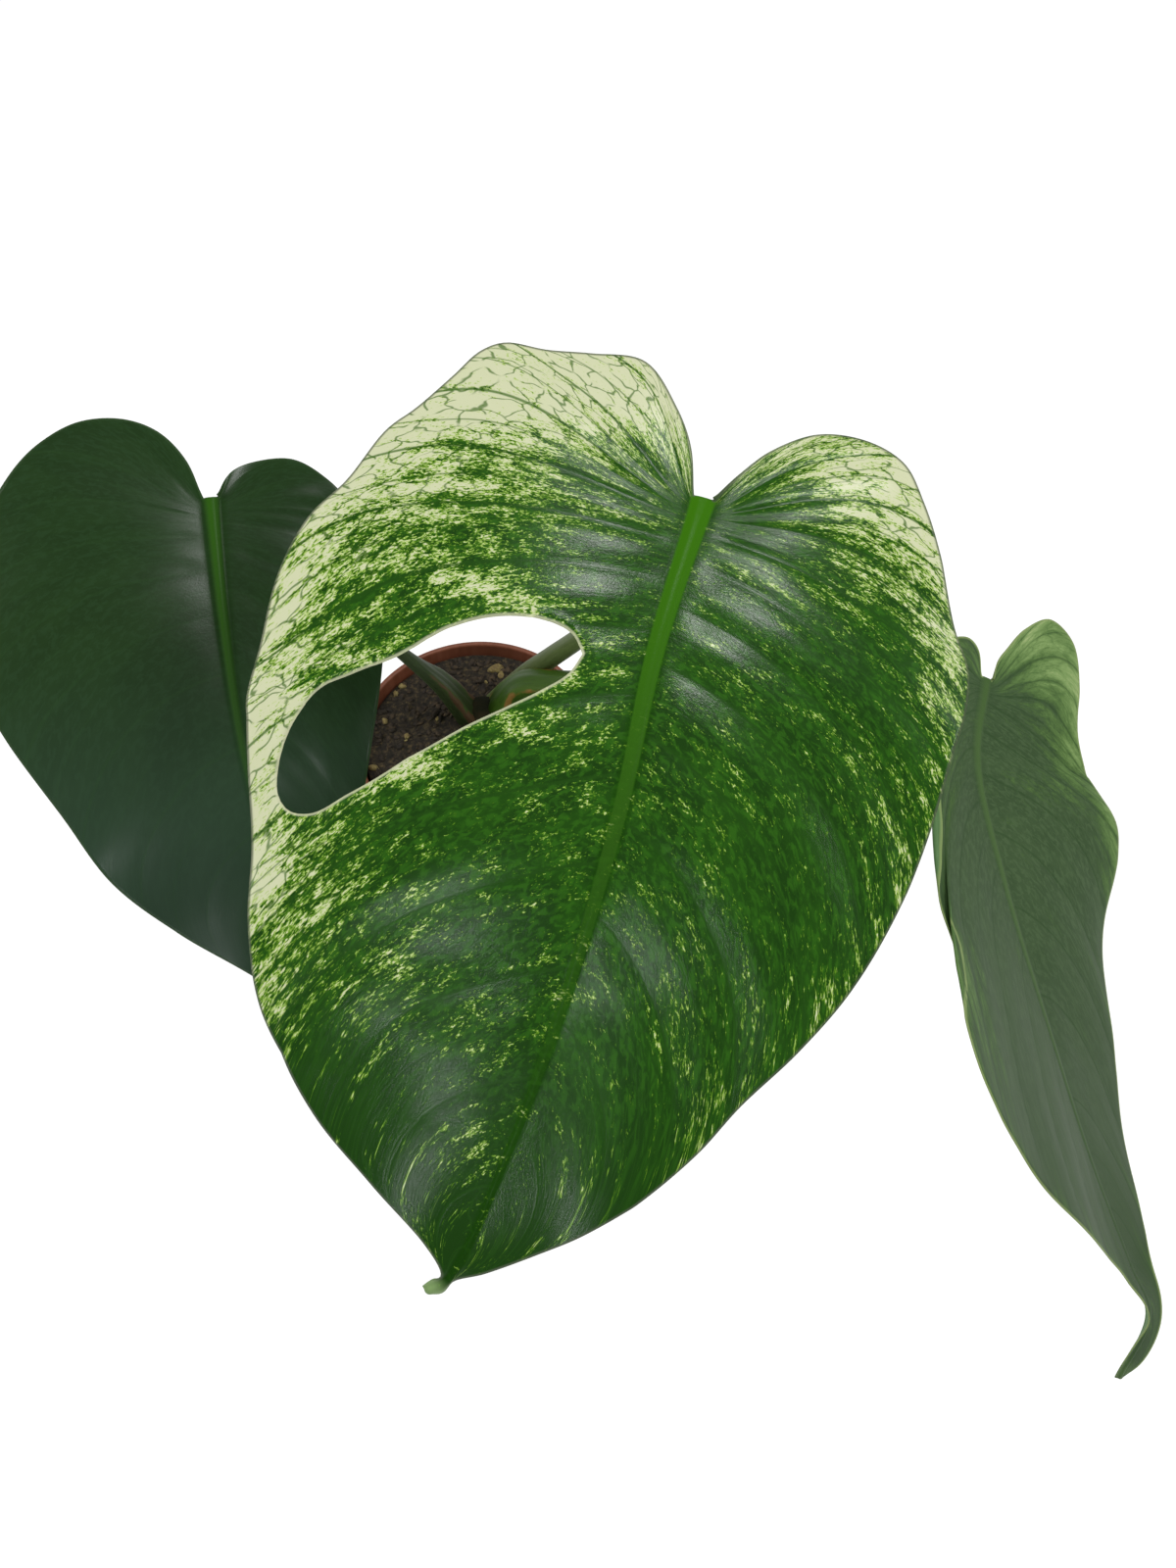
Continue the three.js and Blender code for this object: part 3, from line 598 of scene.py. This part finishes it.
def leafMeasures(tree, look):  # what the skin knows of a place: its measures, its grains and its bands
    flow = addNode(tree, "UVMap", uv_map="veinFlow")
    known = {key: addNode(tree, "Attribute", output="Fac", attribute_name=key) for key in skinMeasures}
    for number, (key, (longMm, wideMm, detail, rough)) in enumerate(leafGrains.items()):
        sized = addNode(tree, "Mapping", {
            "Vector": flow,
            "Location": (3.7 * number, 8.3 * number, 0),  # so that no two grains fall together
            "Scale": (flowUnit / longMm, flowUnit / wideMm, 1),
        })
        grain = {"Vector": sized, "Scale": 1.0, "Detail": detail, "Roughness": rough, "Distortion": 0.4}
        known[key] = addNode(tree, "TexNoise", grain, noise_dimensions="2D")

    # side veins lie at whole numbers of veinPlace, and finer ones half way between them
    toMain = addNode(tree, "Math", {0: known["veinPlace"], 1: 0.5}, operation="PINGPONG")
    toFine = addNode(tree, "Math", {0: 0.5, 1: toMain}, operation="SUBTRACT")
    for key, near in (("mainGap", toMain), ("fineGap", toFine)):
        known[key] = addNode(tree, "Math", {0: near, 1: known["veinGap"]}, operation="MULTIPLY")
    cellScale = [flowUnit / size for size in leafNet["cellMm"]] + [1]
    cells = addNode(tree, "Mapping", {"Vector": flow, "Scale": cellScale})
    shake = {"Vector": cells, "Scale": leafNet["shakeScale"], "Detail": 1.0}
    shaken = {0: addNode(tree, "TexNoise", shake, 1, noise_dimensions="2D"), 2: cells}
    shaken[1] = (leafNet["shake"], leafNet["shake"], 0)
    moved = addNode(tree, "VectorMath", shaken, operation="MULTIPLY_ADD")
    known["net"] = addNode(tree, "TexVoronoi", {"Vector": moved, "Scale": 1.0}, "Distance",
                           feature="DISTANCE_TO_EDGE", voronoi_dimensions="2D")
    band = {}
    for key, (measure, full, gone) in {**leafBands, "rib": ("acrossRib", *look["ribBand"])}.items():
        ends = {"Value": known[measure], "From Min": gone, "From Max": full}
        band[key] = addNode(tree, "MapRange", ends, interpolation_type="SMOOTHSTEP")
    return known, band


def layOver(tree, colour, layers, band):  # lays each tone over the colour where its bands are full
    for keys, strength, tone in layers:
        for key in keys:
            strength = addNode(tree, "Math", {0: band[key], 1: strength}, operation="MULTIPLY")
        colour = addNode(tree, "Mix", {0: strength, 6: colour, 7: tone}, 2, data_type="RGBA")
    return colour


def leafColour(tree, known, band, look):
    # the field says how cream a place is, and the ramp turns it to green, lime or cream
    field = known["creamShare"]
    for key in ("patches", "clusters", "flecks"):
        centred = addNode(tree, "Math", {0: known[key], 1: 0.5}, operation="SUBTRACT")
        field = addNode(tree, "Math", {0: centred, 1: look[key], 2: field}, operation="MULTIPLY_ADD")
    for key, weight in veinHold.items():
        hold = {0: band[key], 1: -weight * look["veinGreen"], 2: field}
        field = addNode(tree, "Math", hold, operation="MULTIPLY_ADD")
    marbled = addNode(tree, "ValToRGB", {0: field}, stops=list(zip(look["places"], look["colours"])))
    darkest, lighter, fresher = (toLinear(tone) for tone in look["deep"])
    deep = layOver(tree, darkest, [
        (("lighter", "calm"), look["tones"], lighter),
        (("fresher", "calm"), look["tones"], fresher),
        # painted sheen: the lower blade turns greyer towards the tip, standing in for the sky's reflection
        (("low",), look["lowSheenShow"], toLinear(look["low"])),
    ], band)
    isPale = {"Value": field, "From Min": look["places"][0] - 0.08, "From Max": look["places"][0] + 0.04}
    ground = {0: addNode(tree, "MapRange", isPale), 6: deep, 7: marbled}

    onCream = {"Value": field, "From Min": look["places"][1], "From Max": look["places"][3]}
    tones = {0: addNode(tree, "MapRange", onCream)}
    tones.update({6: toLinear(look["veinOnGreen"]), 7: toLinear(look["veinOnCream"])})
    veinTone = addNode(tree, "Mix", tones, 2, data_type="RGBA")
    ribTone = addNode(tree, "ValToRGB", {0: known["alongRib"]}, stops=list(zip((0.0, 0.4, 1.0), look["rib"])))
    return layOver(tree, addNode(tree, "Mix", ground, 2, data_type="RGBA"), [
        (("mainVein",), look["veinShow"], veinTone),
        (("fineVein", "outer"), 0.8 * look["veinShow"], veinTone),
        (("netLine", "whole", "outer"), look["netShow"], veinTone),
        # painted shade: the darkest green laid in the creases beside the midrib
        (("ribShade",), 0.35, darkest),
        (("rib", "ribFade"), 1.0, ribTone),
        (("window",), 0.8, toLinear("#cdd0ab")),
        (("edge",), look["edgeShow"], toLinear(look["edge"])),
        (("tip",), 0.8, toLinear(look["tip"])),
    ], band)


# Living leaf skin: waxy and satin with a fine crinkled grain, sunk veins, and cream marbling that
# runs along the veins and breaks up into green and lime flecks
def leafSkin(name, look):
    material, tree, shader = newMaterial(name)
    known, band = leafMeasures(tree, look)
    gloss = {0: known["greens"], 1: 0.2, 2: look["roughness"] - 0.1}
    height = known["crinkle"]
    for key, depth in veinSink.items():
        height = addNode(tree, "Math", {0: band[key], 1: -depth, 2: height}, operation="MULTIPLY_ADD")
    relief = {"Height": height, "Strength": look["bump"], "Distance": 0.3 * mm}
    crinkled = addNode(tree, "Bump", relief)
    coat, coatRoughness = look["wax"]
    waxy = {0: band["ribShade"], 1: -0.85 * coat, 2: coat}  # hardly any wax on the midrib and beside it
    feed(tree, shader, {
        "Base Color": leafColour(tree, known, band, look),
        "Roughness": addNode(tree, "Math", gloss, operation="MULTIPLY_ADD"),
        "Normal": crinkled,
        "IOR": 1.45,
        "Specular IOR Level": look["shine"],
        "Coat Weight": addNode(tree, "Math", waxy, operation="MULTIPLY_ADD"),
        "Coat Roughness": coatRoughness,
        "Coat Normal": crinkled,
    })
    return material


bladeLooks = {
    "left": {
        "patches": 0.3, "clusters": 0.5, "flecks": 0.7, "veinGreen": 0.05,
        "places": (0.42, 0.48, 0.54, 0.62),
        "colours": ("#2b4a28", "#3f6038", "#7c9a6c", "#b9c69c"),
        "deep": ("#1d3515", "#26421d", "#2d4a2c"),
        "veinOnGreen": "#2a4a22", "veinOnCream": "#4e7040", "veinShow": 0.15, "netShow": 0.03,
        "rib": ("#2f5a14", "#31531f", "#2b4724"), "ribBand": (0.25, 1.25), "edge": "#3d5434", "edgeShow": 0.6,
        # painted sheen: the low and tip tones are greyed, standing in for the sky's reflection on this leaf
        "low": "#33473a", "lowSheenShow": 0.6, "tip": "#3b4e3f",
        "tones": 0.25, "roughness": 0.5, "bump": 0.05, "shine": 0.02, "wax": (0.35, 0.25),
    },
    "main": {
        "patches": 0.6, "clusters": 1.35, "flecks": 1.85, "veinGreen": 0.2,
        "places": (0.29, 0.43, 0.56, 0.68),
        "colours": ("#2c5c0c", "#64911f", "#aec865", "#cdd1ab"),
        "deep": ("#183d08", "#22500b", "#336a14"),
        "veinOnGreen": "#1f470c", "veinOnCream": "#456c22", "veinShow": 0.85, "netShow": 0.8,
        "rib": ("#38700a", "#325d16", "#2c521e"), "ribBand": (0.9, 1.25), "edge": "#56604c", "edgeShow": 0.8,
        "low": "#22500b", "lowSheenShow": 0, "tip": "#8aa76c",
        "tones": 0.55, "roughness": 0.5, "bump": 0.1, "shine": 0.02, "wax": (0.3, 0.21),
    },
    # the right leaf's greens are greyed throughout: painted sheen from the bright sky, which this steeply
    # tilted leaf reflects
    "right": {
        "patches": 0.42, "clusters": 0.35, "flecks": 0.3, "veinGreen": 0.12,
        "places": (0.26, 0.42, 0.6, 0.8),
        "colours": ("#435f30", "#5a783f", "#7e9a5c", "#adbb82"),
        "deep": ("#364d2c", "#435a37", "#526a45"),
        "veinOnGreen": "#2a4520", "veinOnCream": "#46642a", "veinShow": 0.55, "netShow": 0.15,
        "rib": ("#425e2e", "#4b6638", "#4c653b"), "ribBand": (0.1, 1.25), "edge": "#8a9c62", "edgeShow": 0.8,
        # painted sheen: the low tone greys the blade towards the tip
        "low": "#3f5137", "lowSheenShow": 0.65, "tip": "#4b6339",
        "tones": 0.4, "roughness": 0.55, "bump": 0.15, "shine": 0.15, "wax": (0, 0.3),
    },
}


undersideLook = {  # the same marbling, paler and more matt, as the lower skin holds less green
    "colours": ("#5f8050", "#7a965f", "#a6b982", "#d2d6b6"),
    "deep": ("#55764a", "#5f8052", "#6b8c5c"),
    "veinOnGreen": "#86a070", "veinOnCream": "#93a873",
    "rib": ("#8aa565", "#84a163", "#7f9c62"), "lowSheenShow": 0, "roughness": 0.58,
}

for side, leaf in leaves.items():
    mesh, wall = bladeMesh(f"bladeFine_{side}", leaf)
    upper = leafSkin(f"waxyLeafSkin_{side}", bladeLooks[side])
    lower = leafSkin(f"mattLeafUnderside_{side}", {**bladeLooks[side], **undersideLook})
    piece = finishPiece(mesh, f"bladeFine_{side}", [f"blade_{side}"], [upper, lower])
    fullWall = sum(bladeForm[key] for key in ("thickness", "ribRise", "ribDrop", "wallSpare"))
    group = piece.vertex_groups.new(name="wall")
    for index, share in enumerate(wall / fullWall):
        group.add([index], float(share), "REPLACE")
    solid = piece.modifiers.new("wall", "SOLIDIFY")
    solid.thickness = fullWall * mm
    solid.offset = -1
    solid.vertex_group = group.name
    solid.material_offset = 1
    solid.material_offset_rim = 0
    print("blade", side, "made:", len(mesh.vertices), "points")


# Leaf stalks: sheathed at the foot, round at the top, each ending close under its blade
stalkForm = {
    "sides": 40, "steps": 110, "taperCurve": 0.7, "ridges": 11, "ridgeDepth": 0.03,
    "sheathFade": 0.6,  # share of the sheath over which its wings die away
    "wingAngle": 0.95,  # radians from the groove to the middle of each sheath wing
    "wingWidth": 0.34, "wingWave": 0.12,
    "wavePaces": (60, 23),  # radians of the two waves along a wing's edge
    "grooveWidth": 0.5, "grooveRise": 0.1,
    "endFrom": 0.96,  # the top end draws in and goes on a little way under the midrib
    "endDraw": 0.3, "endReach": 1.6, "clearance": 0.7,
    "flatWithin": 30,  # only what is this near to the notch is pressed flat under it
}

stalkLooks = {
    # the left stalk's greens are darkened as painted shade, since it stands under the main blade
    "left": {"foot": "#2b371a", "top": "#2f4422", "wing": "#3b4f21", "dry": "#4e3b27", "dryFrom": 0.26},
    "main": {"foot": "#515c34", "top": "#54702f", "wing": "#5f6c40", "dry": "#5a4a2c", "dryFrom": 0.6},
    "right": {"foot": "#304c0c", "top": "#55742f", "wing": "#415c14", "dry": "#7d5f2a", "dryFrom": 0.34},
}


def stalkMesh(name, leaf):
    form = stalkForm
    tube = bmesh.new()
    bmesh.ops.create_cone(tube, cap_ends=True, segments=form["sides"], radius1=1, radius2=1, depth=1)
    upright = [e for e in tube.edges if abs(e.verts[0].co.z - e.verts[1].co.z) > 0.5]
    bmesh.ops.subdivide_edges(tube, edges=upright, cuts=form["steps"], use_grid_fill=True)
    mesh = toMesh(name, tube)
    blankPoints = readPoints(mesh)
    share = np.clip(blankPoints[:, 2] + 0.5, 0, 1)
    angle = np.arctan2(blankPoints[:, 0], blankPoints[:, 1])
    centre, along = curveByLength(leaf["stalk"], share)
    grooveSide = np.array([0.0, 0.0, 1.0]) - along * along[:, 2:3]
    grooveSide = grooveSide / np.linalg.norm(grooveSide, axis=1, keepdims=True)
    sideways = np.cross(along, grooveSide)
    strength = smoothStep(leaf["sheathShare"] - share, 0, leaf["sheathShare"] * form["sheathFade"])
    foot, top = leaf["stalkRadius"]
    radius = foot + (top - foot) * np.minimum(1, share / leaf["stalkTaper"]) ** form["taperCurve"]
    ending = smoothStep(share, form["endFrom"], 1)
    radius = radius * (1 - form["endDraw"] * ending)
    wing = np.exp(-((np.abs(angle) - form["wingAngle"]) / form["wingWidth"]) ** 2)
    groove = np.exp(-(angle / form["grooveWidth"]) ** 2)
    quick, slow = (share * pace for pace in form["wavePaces"])
    edgeWave = 1 + form["wingWave"] * np.sin(quick + angle) * np.sin(slow)
    section = 1 + strength * (leaf["sheathWing"] * wing * edgeWave + form["grooveRise"] * groove)
    ridged = (radius * section + form["ridgeDepth"] * np.cos(angle * form["ridges"]))[:, None]
    notch, onward, facing, _ = bladeFrame(leaf, np.zeros(1))
    centre = centre + form["endReach"] * ending[:, None] * onward
    turned = angle[:, None]
    points = centre + grooveSide * (ridged * np.cos(turned)) + sideways * (ridged * np.sin(turned))
    above = (points - notch) @ facing[0] + form["clearance"]
    close = np.linalg.norm(points - notch, axis=1) < form["flatWithin"]
    points = points - np.outer(np.maximum(above, 0) * close, facing[0])
    writePoints(mesh, points * mm)
    middle = curveAt(leaf["stalk"], np.linspace(0, 1, 200))
    lengthMm = np.linalg.norm(np.diff(middle, axis=0), axis=1).sum()
    measures = (share, wing * strength, share * lengthMm, angle)
    for key, values in zip(stalkMeasures, measures):
        storeValues(mesh, key, values)
    return mesh


stalkMeasures = ("alongStalk", "wingShare", "stalkMm", "roundStalk")
stalkGrains = {"lines": (11, 0.9), "spots": (2.4, 1.2), "dryness": (14, 5)}  # mm along and around


# Leaf stalk skin: smooth and a little waxy, with fine lines along it, pale flecks and dry sheath edges
def stalkSkin(name, look):
    material, tree, shader = newMaterial(name)
    known = {key: addNode(tree, "Attribute", output="Fac", attribute_name=key) for key in stalkMeasures}
    roundMm = addNode(tree, "Math", {0: known["roundStalk"], 1: 5.0}, operation="MULTIPLY")  # at 5 mm radius
    place = addNode(tree, "CombineXYZ", {0: roundMm, 1: known["stalkMm"]})
    for key, (longMm, wideMm) in stalkGrains.items():
        sized = addNode(tree, "Mapping", {"Vector": place, "Scale": (1 / wideMm, 1 / longMm, 1)})
        grain = {"Vector": sized, "Scale": 1.0, "Detail": 3.0}
        known[key] = addNode(tree, "TexNoise", grain, noise_dimensions="2D")
    dryness = addNode(tree, "Math", {0: known["dryness"], 1: known["wingShare"]}, operation="MULTIPLY")
    shade = {"Value": known["lines"], "From Min": 0.3, "From Max": 0.7, "To Min": 0.88, "To Max": 1.1}
    green = {0: known["alongStalk"], 6: toLinear(look["foot"]), 7: toLinear(look["top"])}
    green = {0: addNode(tree, "Mix", green, 2, data_type="RGBA"), "Scale": addNode(tree, "MapRange", shade)}
    colour = addNode(tree, "VectorMath", green, operation="SCALE")
    layers = [  # what is measured, where it starts and is full, its strength and its colour
        (known["spots"], 0.6, 0.68, 0.35, look["wing"]),
        (known["wingShare"], 0.3, 0.85, 0.8, look["wing"]),
        (dryness, look["dryFrom"], look["dryFrom"] + 0.1, 1.0, look["dry"]),
    ]
    for value, start, full, strength, tone in layers:
        ends = {"Value": value, "From Min": start, "From Max": full, "To Max": strength}
        blend = {0: addNode(tree, "MapRange", ends), 6: colour, 7: toLinear(tone)}
        colour = addNode(tree, "Mix", blend, 2, data_type="RGBA")
    relief = {"Height": known["lines"], "Strength": 0.3, "Distance": 0.3 * mm}
    feed(tree, shader, {
        "Base Color": colour,
        "Normal": addNode(tree, "Bump", relief),
        "Roughness": 0.5,
        "IOR": 1.45,
        "Specular IOR Level": 0.25,
    })
    return material


for side, leaf in leaves.items():
    mesh = stalkMesh(f"stalkFine_{side}", leaf)
    skin = stalkSkin(f"smoothStalkSkin_{side}", stalkLooks[side])
    finishPiece(mesh, f"stalkFine_{side}", [f"stalk_{side}"], [skin])
print("stalks made")


# Round nursery pot with a rim band and drain holes
pot = {
    "height": 105, "rimRadius": 60, "baseRadius": 43, "wall": 1.7, "floor": 2.4, "sides": 144,
    "bandHeight": 13, "bandStep": 2,
    "holeRadius": 4.5, "holeCircle": 29, "holes": 6,
}


def innerRadiusAt(height):
    share = height / (pot["height"] - pot["bandHeight"])
    return pot["baseRadius"] + (pot["rimRadius"] - pot["bandStep"] - pot["baseRadius"]) * share - pot["wall"]


def turnedMesh(name, profile, sides, centre=(0, 0)):  # spins a profile of radius and height pairs
    form = bmesh.new()
    line = [form.verts.new((radius * mm, 0, height * mm)) for radius, height in profile]
    edges = [form.edges.new(pair) for pair in zip(line[:-1], line[1:])]
    bmesh.ops.spin(form, geom=line + edges, cent=(0, 0, 0), axis=(0, 0, 1), angle=2 * math.pi,
                   steps=sides, use_merge=True)
    bmesh.ops.remove_doubles(form, verts=form.verts[:], dist=1e-6)
    bmesh.ops.recalc_face_normals(form, faces=form.faces[:])
    bmesh.ops.translate(form, verts=form.verts[:], vec=(centre[0] * mm, centre[1] * mm, 0))
    return toMesh(name, form)


def cutHoles(mesh):  # drain holes through the pot's floor
    cutter = bmesh.new()
    far, radius, thick = (pot[key] * mm for key in ("holeCircle", "holeRadius", "floor"))
    for hole in range(pot["holes"]):
        angle = (hole + 0.5) / pot["holes"] * 2 * math.pi
        place = Matrix.Translation((far * math.cos(angle), far * math.sin(angle), thick / 2))
        bmesh.ops.create_cone(cutter, cap_ends=True, segments=32, radius1=radius, radius2=radius,
                              depth=4 * thick, matrix=place)
    body = addObject("potBody", mesh)
    tool = addObject("drainCutter", toMesh("drainCutter", cutter))
    cut = body.modifiers.new("drain", "BOOLEAN")
    cut.object = tool
    cut.solver = "EXACT"
    shown = body.evaluated_get(bpy.context.evaluated_depsgraph_get())
    result = bpy.data.meshes.new_from_object(shown)
    for thing in (body, tool):
        bpy.data.objects.remove(thing)
    return result


rim, top, base, floorTop = (pot[key] for key in ("rimRadius", "height", "baseRadius", "floor"))
bandFoot = top - pot["bandHeight"]
wallTop = rim - pot["bandStep"]
potProfile = [  # up the outside, over the rim and down the inside
    (0, 0), (base - 5, 0), (base - 1.6, 0), (base - 0.5, 0.4), (base, 1.6),
    (wallTop - 0.6, bandFoot - 1.2), (wallTop - 0.4, bandFoot - 0.2), (wallTop - 0.2, bandFoot),
    (rim - 1.4, bandFoot + 0.3), (rim - 1, bandFoot + 0.9), (rim - 0.2, top - 1.6), (rim, top - 1),
    (rim - 0.3, top - 0.3), (rim - 1, top), (rim - 1.9, top), (rim - 2.5, top - 0.5),
    (rim - 2.7, top - 1.4), (rim - 3, bandFoot + 3), (innerRadiusAt(bandFoot), bandFoot - 1),
    (innerRadiusAt(floorTop + 2), floorTop + 2), (innerRadiusAt(floorTop) - 2, floorTop), (0, floorTop),
]

# Injection-moulded polypropylene, terracotta coloured: dull satin, faint upright flow marks, dusty
potPlastic = grainMaterial("mouldedPolypropyleneTerracotta", {
    "grainMm": (4, 4, 26), "roughness": (0.4, 0.62), "bump": 0.15, "bumpMm": 0.2, "ior": 1.49,
    "stops": [(0.3, "#713f29"), (0.5, "#7b4630"), (0.72, "#86503a")],
})
potMesh = cutHoles(turnedMesh("potFine", potProfile, pot["sides"]))
potPiece = finishPiece(potMesh, "potFine", ["pot"], [potPlastic])
potPiece.modifiers.new("keepEdges", "WEIGHTED_NORMAL")
print("pot made")


# Potting mix, with bark flakes and pale chips lying on it
mix = {
    "foot": 3, "level": 99, "mound": 3, "wallGap": 0.35, "sides": 120, "rings": 60, "seed": 12,
    "lumps": [(14, 2.0, 1.5), (5, 5.0, 0.8), (1.9, 8.0, 0.5)],  # size, seed and height of each grain
    # the bits with a spot, as a place and a half size, come before the scattered ones
    "bark": {"count": 520, "sizes": (0.7, 2.1), "flatness": 0.45, "longest": 1.7, "spots": []},
    "chips": {"count": 22, "sizes": (0.6, 1.3), "flatness": 0.7, "longest": 1.2, "spots": [
        (8, 45, 3.6), (11, 40.5, 2.3), (-40, 34, 2.2), (-43, 29.5, 1.6), (-50, -16, 2.6), (-35, 2, 1.8),
        (-20, 12, 1.3), (3.5, 36, 1.2), (-47, 12, 2.0), (-10, -20, 2.2), (22, -30, 1.8), (30, 22, 1.5),
    ]},
}
stem = {
    "x": 3, "y": 13, "radius": 12, "sides": 64,
    "outline": [  # share of the radius and height, from the buried foot to the top
        (0, 46), (0.55, 46), (0.85, 54), (0.92, 68), (1.02, 71), (0.94, 74), (0.98, 96), (1.03, 98.5),
        (1.04, 99.5), (0.97, 102), (0.93, 104), (0.86, 105), (0.74, 108), (0.55, 110), (0.3, 110.7), (0, 111),
    ],
}


def soilHeight(x, y):  # a low mound with soft lumps
    edge = innerRadiusAt(mix["level"])
    inward = min(max((edge - math.hypot(x, y)) / edge, 0), 1)
    height = mix["level"] + mix["mound"] * math.sin(inward * math.pi / 2)
    lumps = sum(rise * noise.noise(Vector((x / size, y / size, seed))) for size, seed, rise in mix["lumps"])
    return height + min(1, inward * 6) * lumps


# Peat and composted bark: near black, dull and crumbly, with lighter fibres in it
peat = grainMaterial("moistPeatMix", {
    "grainMm": (2.4, 2.4, 2.4), "roughness": (0.85, 0.98), "bump": 0.9, "bumpMm": 1, "ior": 1.4,
    "stops": [(0.3, "#14110d"), (0.5, "#2a241b"), (0.62, "#473c29"), (0.78, "#6b5a3c")],
})
foot, level = mix["foot"], mix["level"]
soilEdge = innerRadiusAt(level - 8) - mix["wallGap"]
soilProfile = [
    (0, foot), (innerRadiusAt(foot) - 3, foot), (innerRadiusAt(foot + 3) - mix["wallGap"], foot + 3),
    (soilEdge, level - 8), (soilEdge, level - 1),
    *((soilEdge * (1 - ring / mix["rings"]), level) for ring in range(1, mix["rings"] + 1)),
]
soilMesh = turnedMesh("soilFine", soilProfile, mix["sides"])
soilPoints = readPoints(soilMesh) / mm
for point in soilPoints:
    if point[2] > level - 0.01:
        point[2] = soilHeight(point[0], point[1])
writePoints(soilMesh, soilPoints * mm)
finishPiece(soilMesh, "soilFine", ["soil"], [peat])

dice = random.Random(mix["seed"])


def scatterBits(name, bits):  # small broken bits lying on the mix
    heap = bmesh.new()
    edge = innerRadiusAt(mix["level"]) - 4
    flatness = bits["flatness"]
    for number in range(bits["count"]):
        if number < len(bits["spots"]):
            x, y, size = bits["spots"][number]
        else:
            angle, far = dice.uniform(0, 2 * math.pi), math.sqrt(dice.random()) * edge
            x, y = far * math.cos(angle), far * math.sin(angle)
            size = dice.uniform(*bits["sizes"])
        if math.hypot(x - stem["x"], y - stem["y"]) < stem["radius"] + 1:
            continue
        turn = Euler((dice.uniform(-0.6, 0.6), dice.uniform(-0.6, 0.6), dice.uniform(0, 6.28)))
        long, wide = size * dice.uniform(0.9, bits["longest"]), size * dice.uniform(0.6, 1)
        height = soilHeight(x, y)
        place = Matrix.Scale(mm, 4) @ Matrix.Translation((x, y, height + 0.25 * size * flatness))
        place = place @ turn.to_matrix().to_4x4() @ Matrix.Diagonal((long, wide, size * flatness, 1))
        made = bmesh.ops.create_icosphere(heap, subdivisions=2, radius=1, matrix=place)
        centre = Vector((x, y, height)) * mm
        for vert in made["verts"]:
            rough = noise.noise(vert.co / mm * (1.1 / size) + Vector((number, 0, 0)))
            vert.co = centre + (vert.co - centre) * (1 + 0.45 * rough)
    return toMesh(name, heap)


# Composted pine bark: dark brown flakes, dull, with a lighter broken face
bark = grainMaterial("compostedBarkFlakes", {
    "grainMm": (4.2, 4.2, 4.2), "roughness": (0.75, 0.95), "bump": 0.5, "bumpMm": 0.6, "ior": 1.45,
    "stops": [(0.32, "#17130e"), (0.5, "#2f261c"), (0.64, "#4a3c29"), (0.8, "#6a5638")],
})

# Expanded perlite and wood chip, stained tan: dry and chalky, pitted
paleChip = grainMaterial("expandedPerliteStained", {
    "grainMm": (2.6, 2.6, 2.6), "roughness": (0.7, 0.9), "bump": 0.6, "bumpMm": 0.5, "ior": 1.5,
    "stops": [(0.35, "#5d4b2b"), (0.5, "#7d6d3f"), (0.7, "#a09361")],
})
for name, bits, material in (("barkBits", mix["bark"], bark), ("paleChips", mix["chips"], paleChip)):
    finishPiece(scatterBits(name, bits), name, [], [material])
print("potting mix made")


# Young stem skin: green going brown, ringed by old leaf scars, dull satin; its grain is darkened to near
# black as painted shade of the leaves over it
stemSkin = grainMaterial("ringedStemSkin", {
    "grainMm": (16, 16, 2), "roughness": (0.6, 0.8), "bump": 0.5, "bumpMm": 0.6, "ior": 1.2,
    "stops": [(0.35, "#14150b"), (0.52, "#1f2010"), (0.7, "#302817")],
})
stemProfile = [(stem["radius"] * share, height) for share, height in stem["outline"]]
stemMesh = turnedMesh("stemFine", stemProfile, stem["sides"], (stem["x"], stem["y"]))
finishPiece(stemMesh, "stemFine", ["stem"], [stemSkin])
print("stem made")
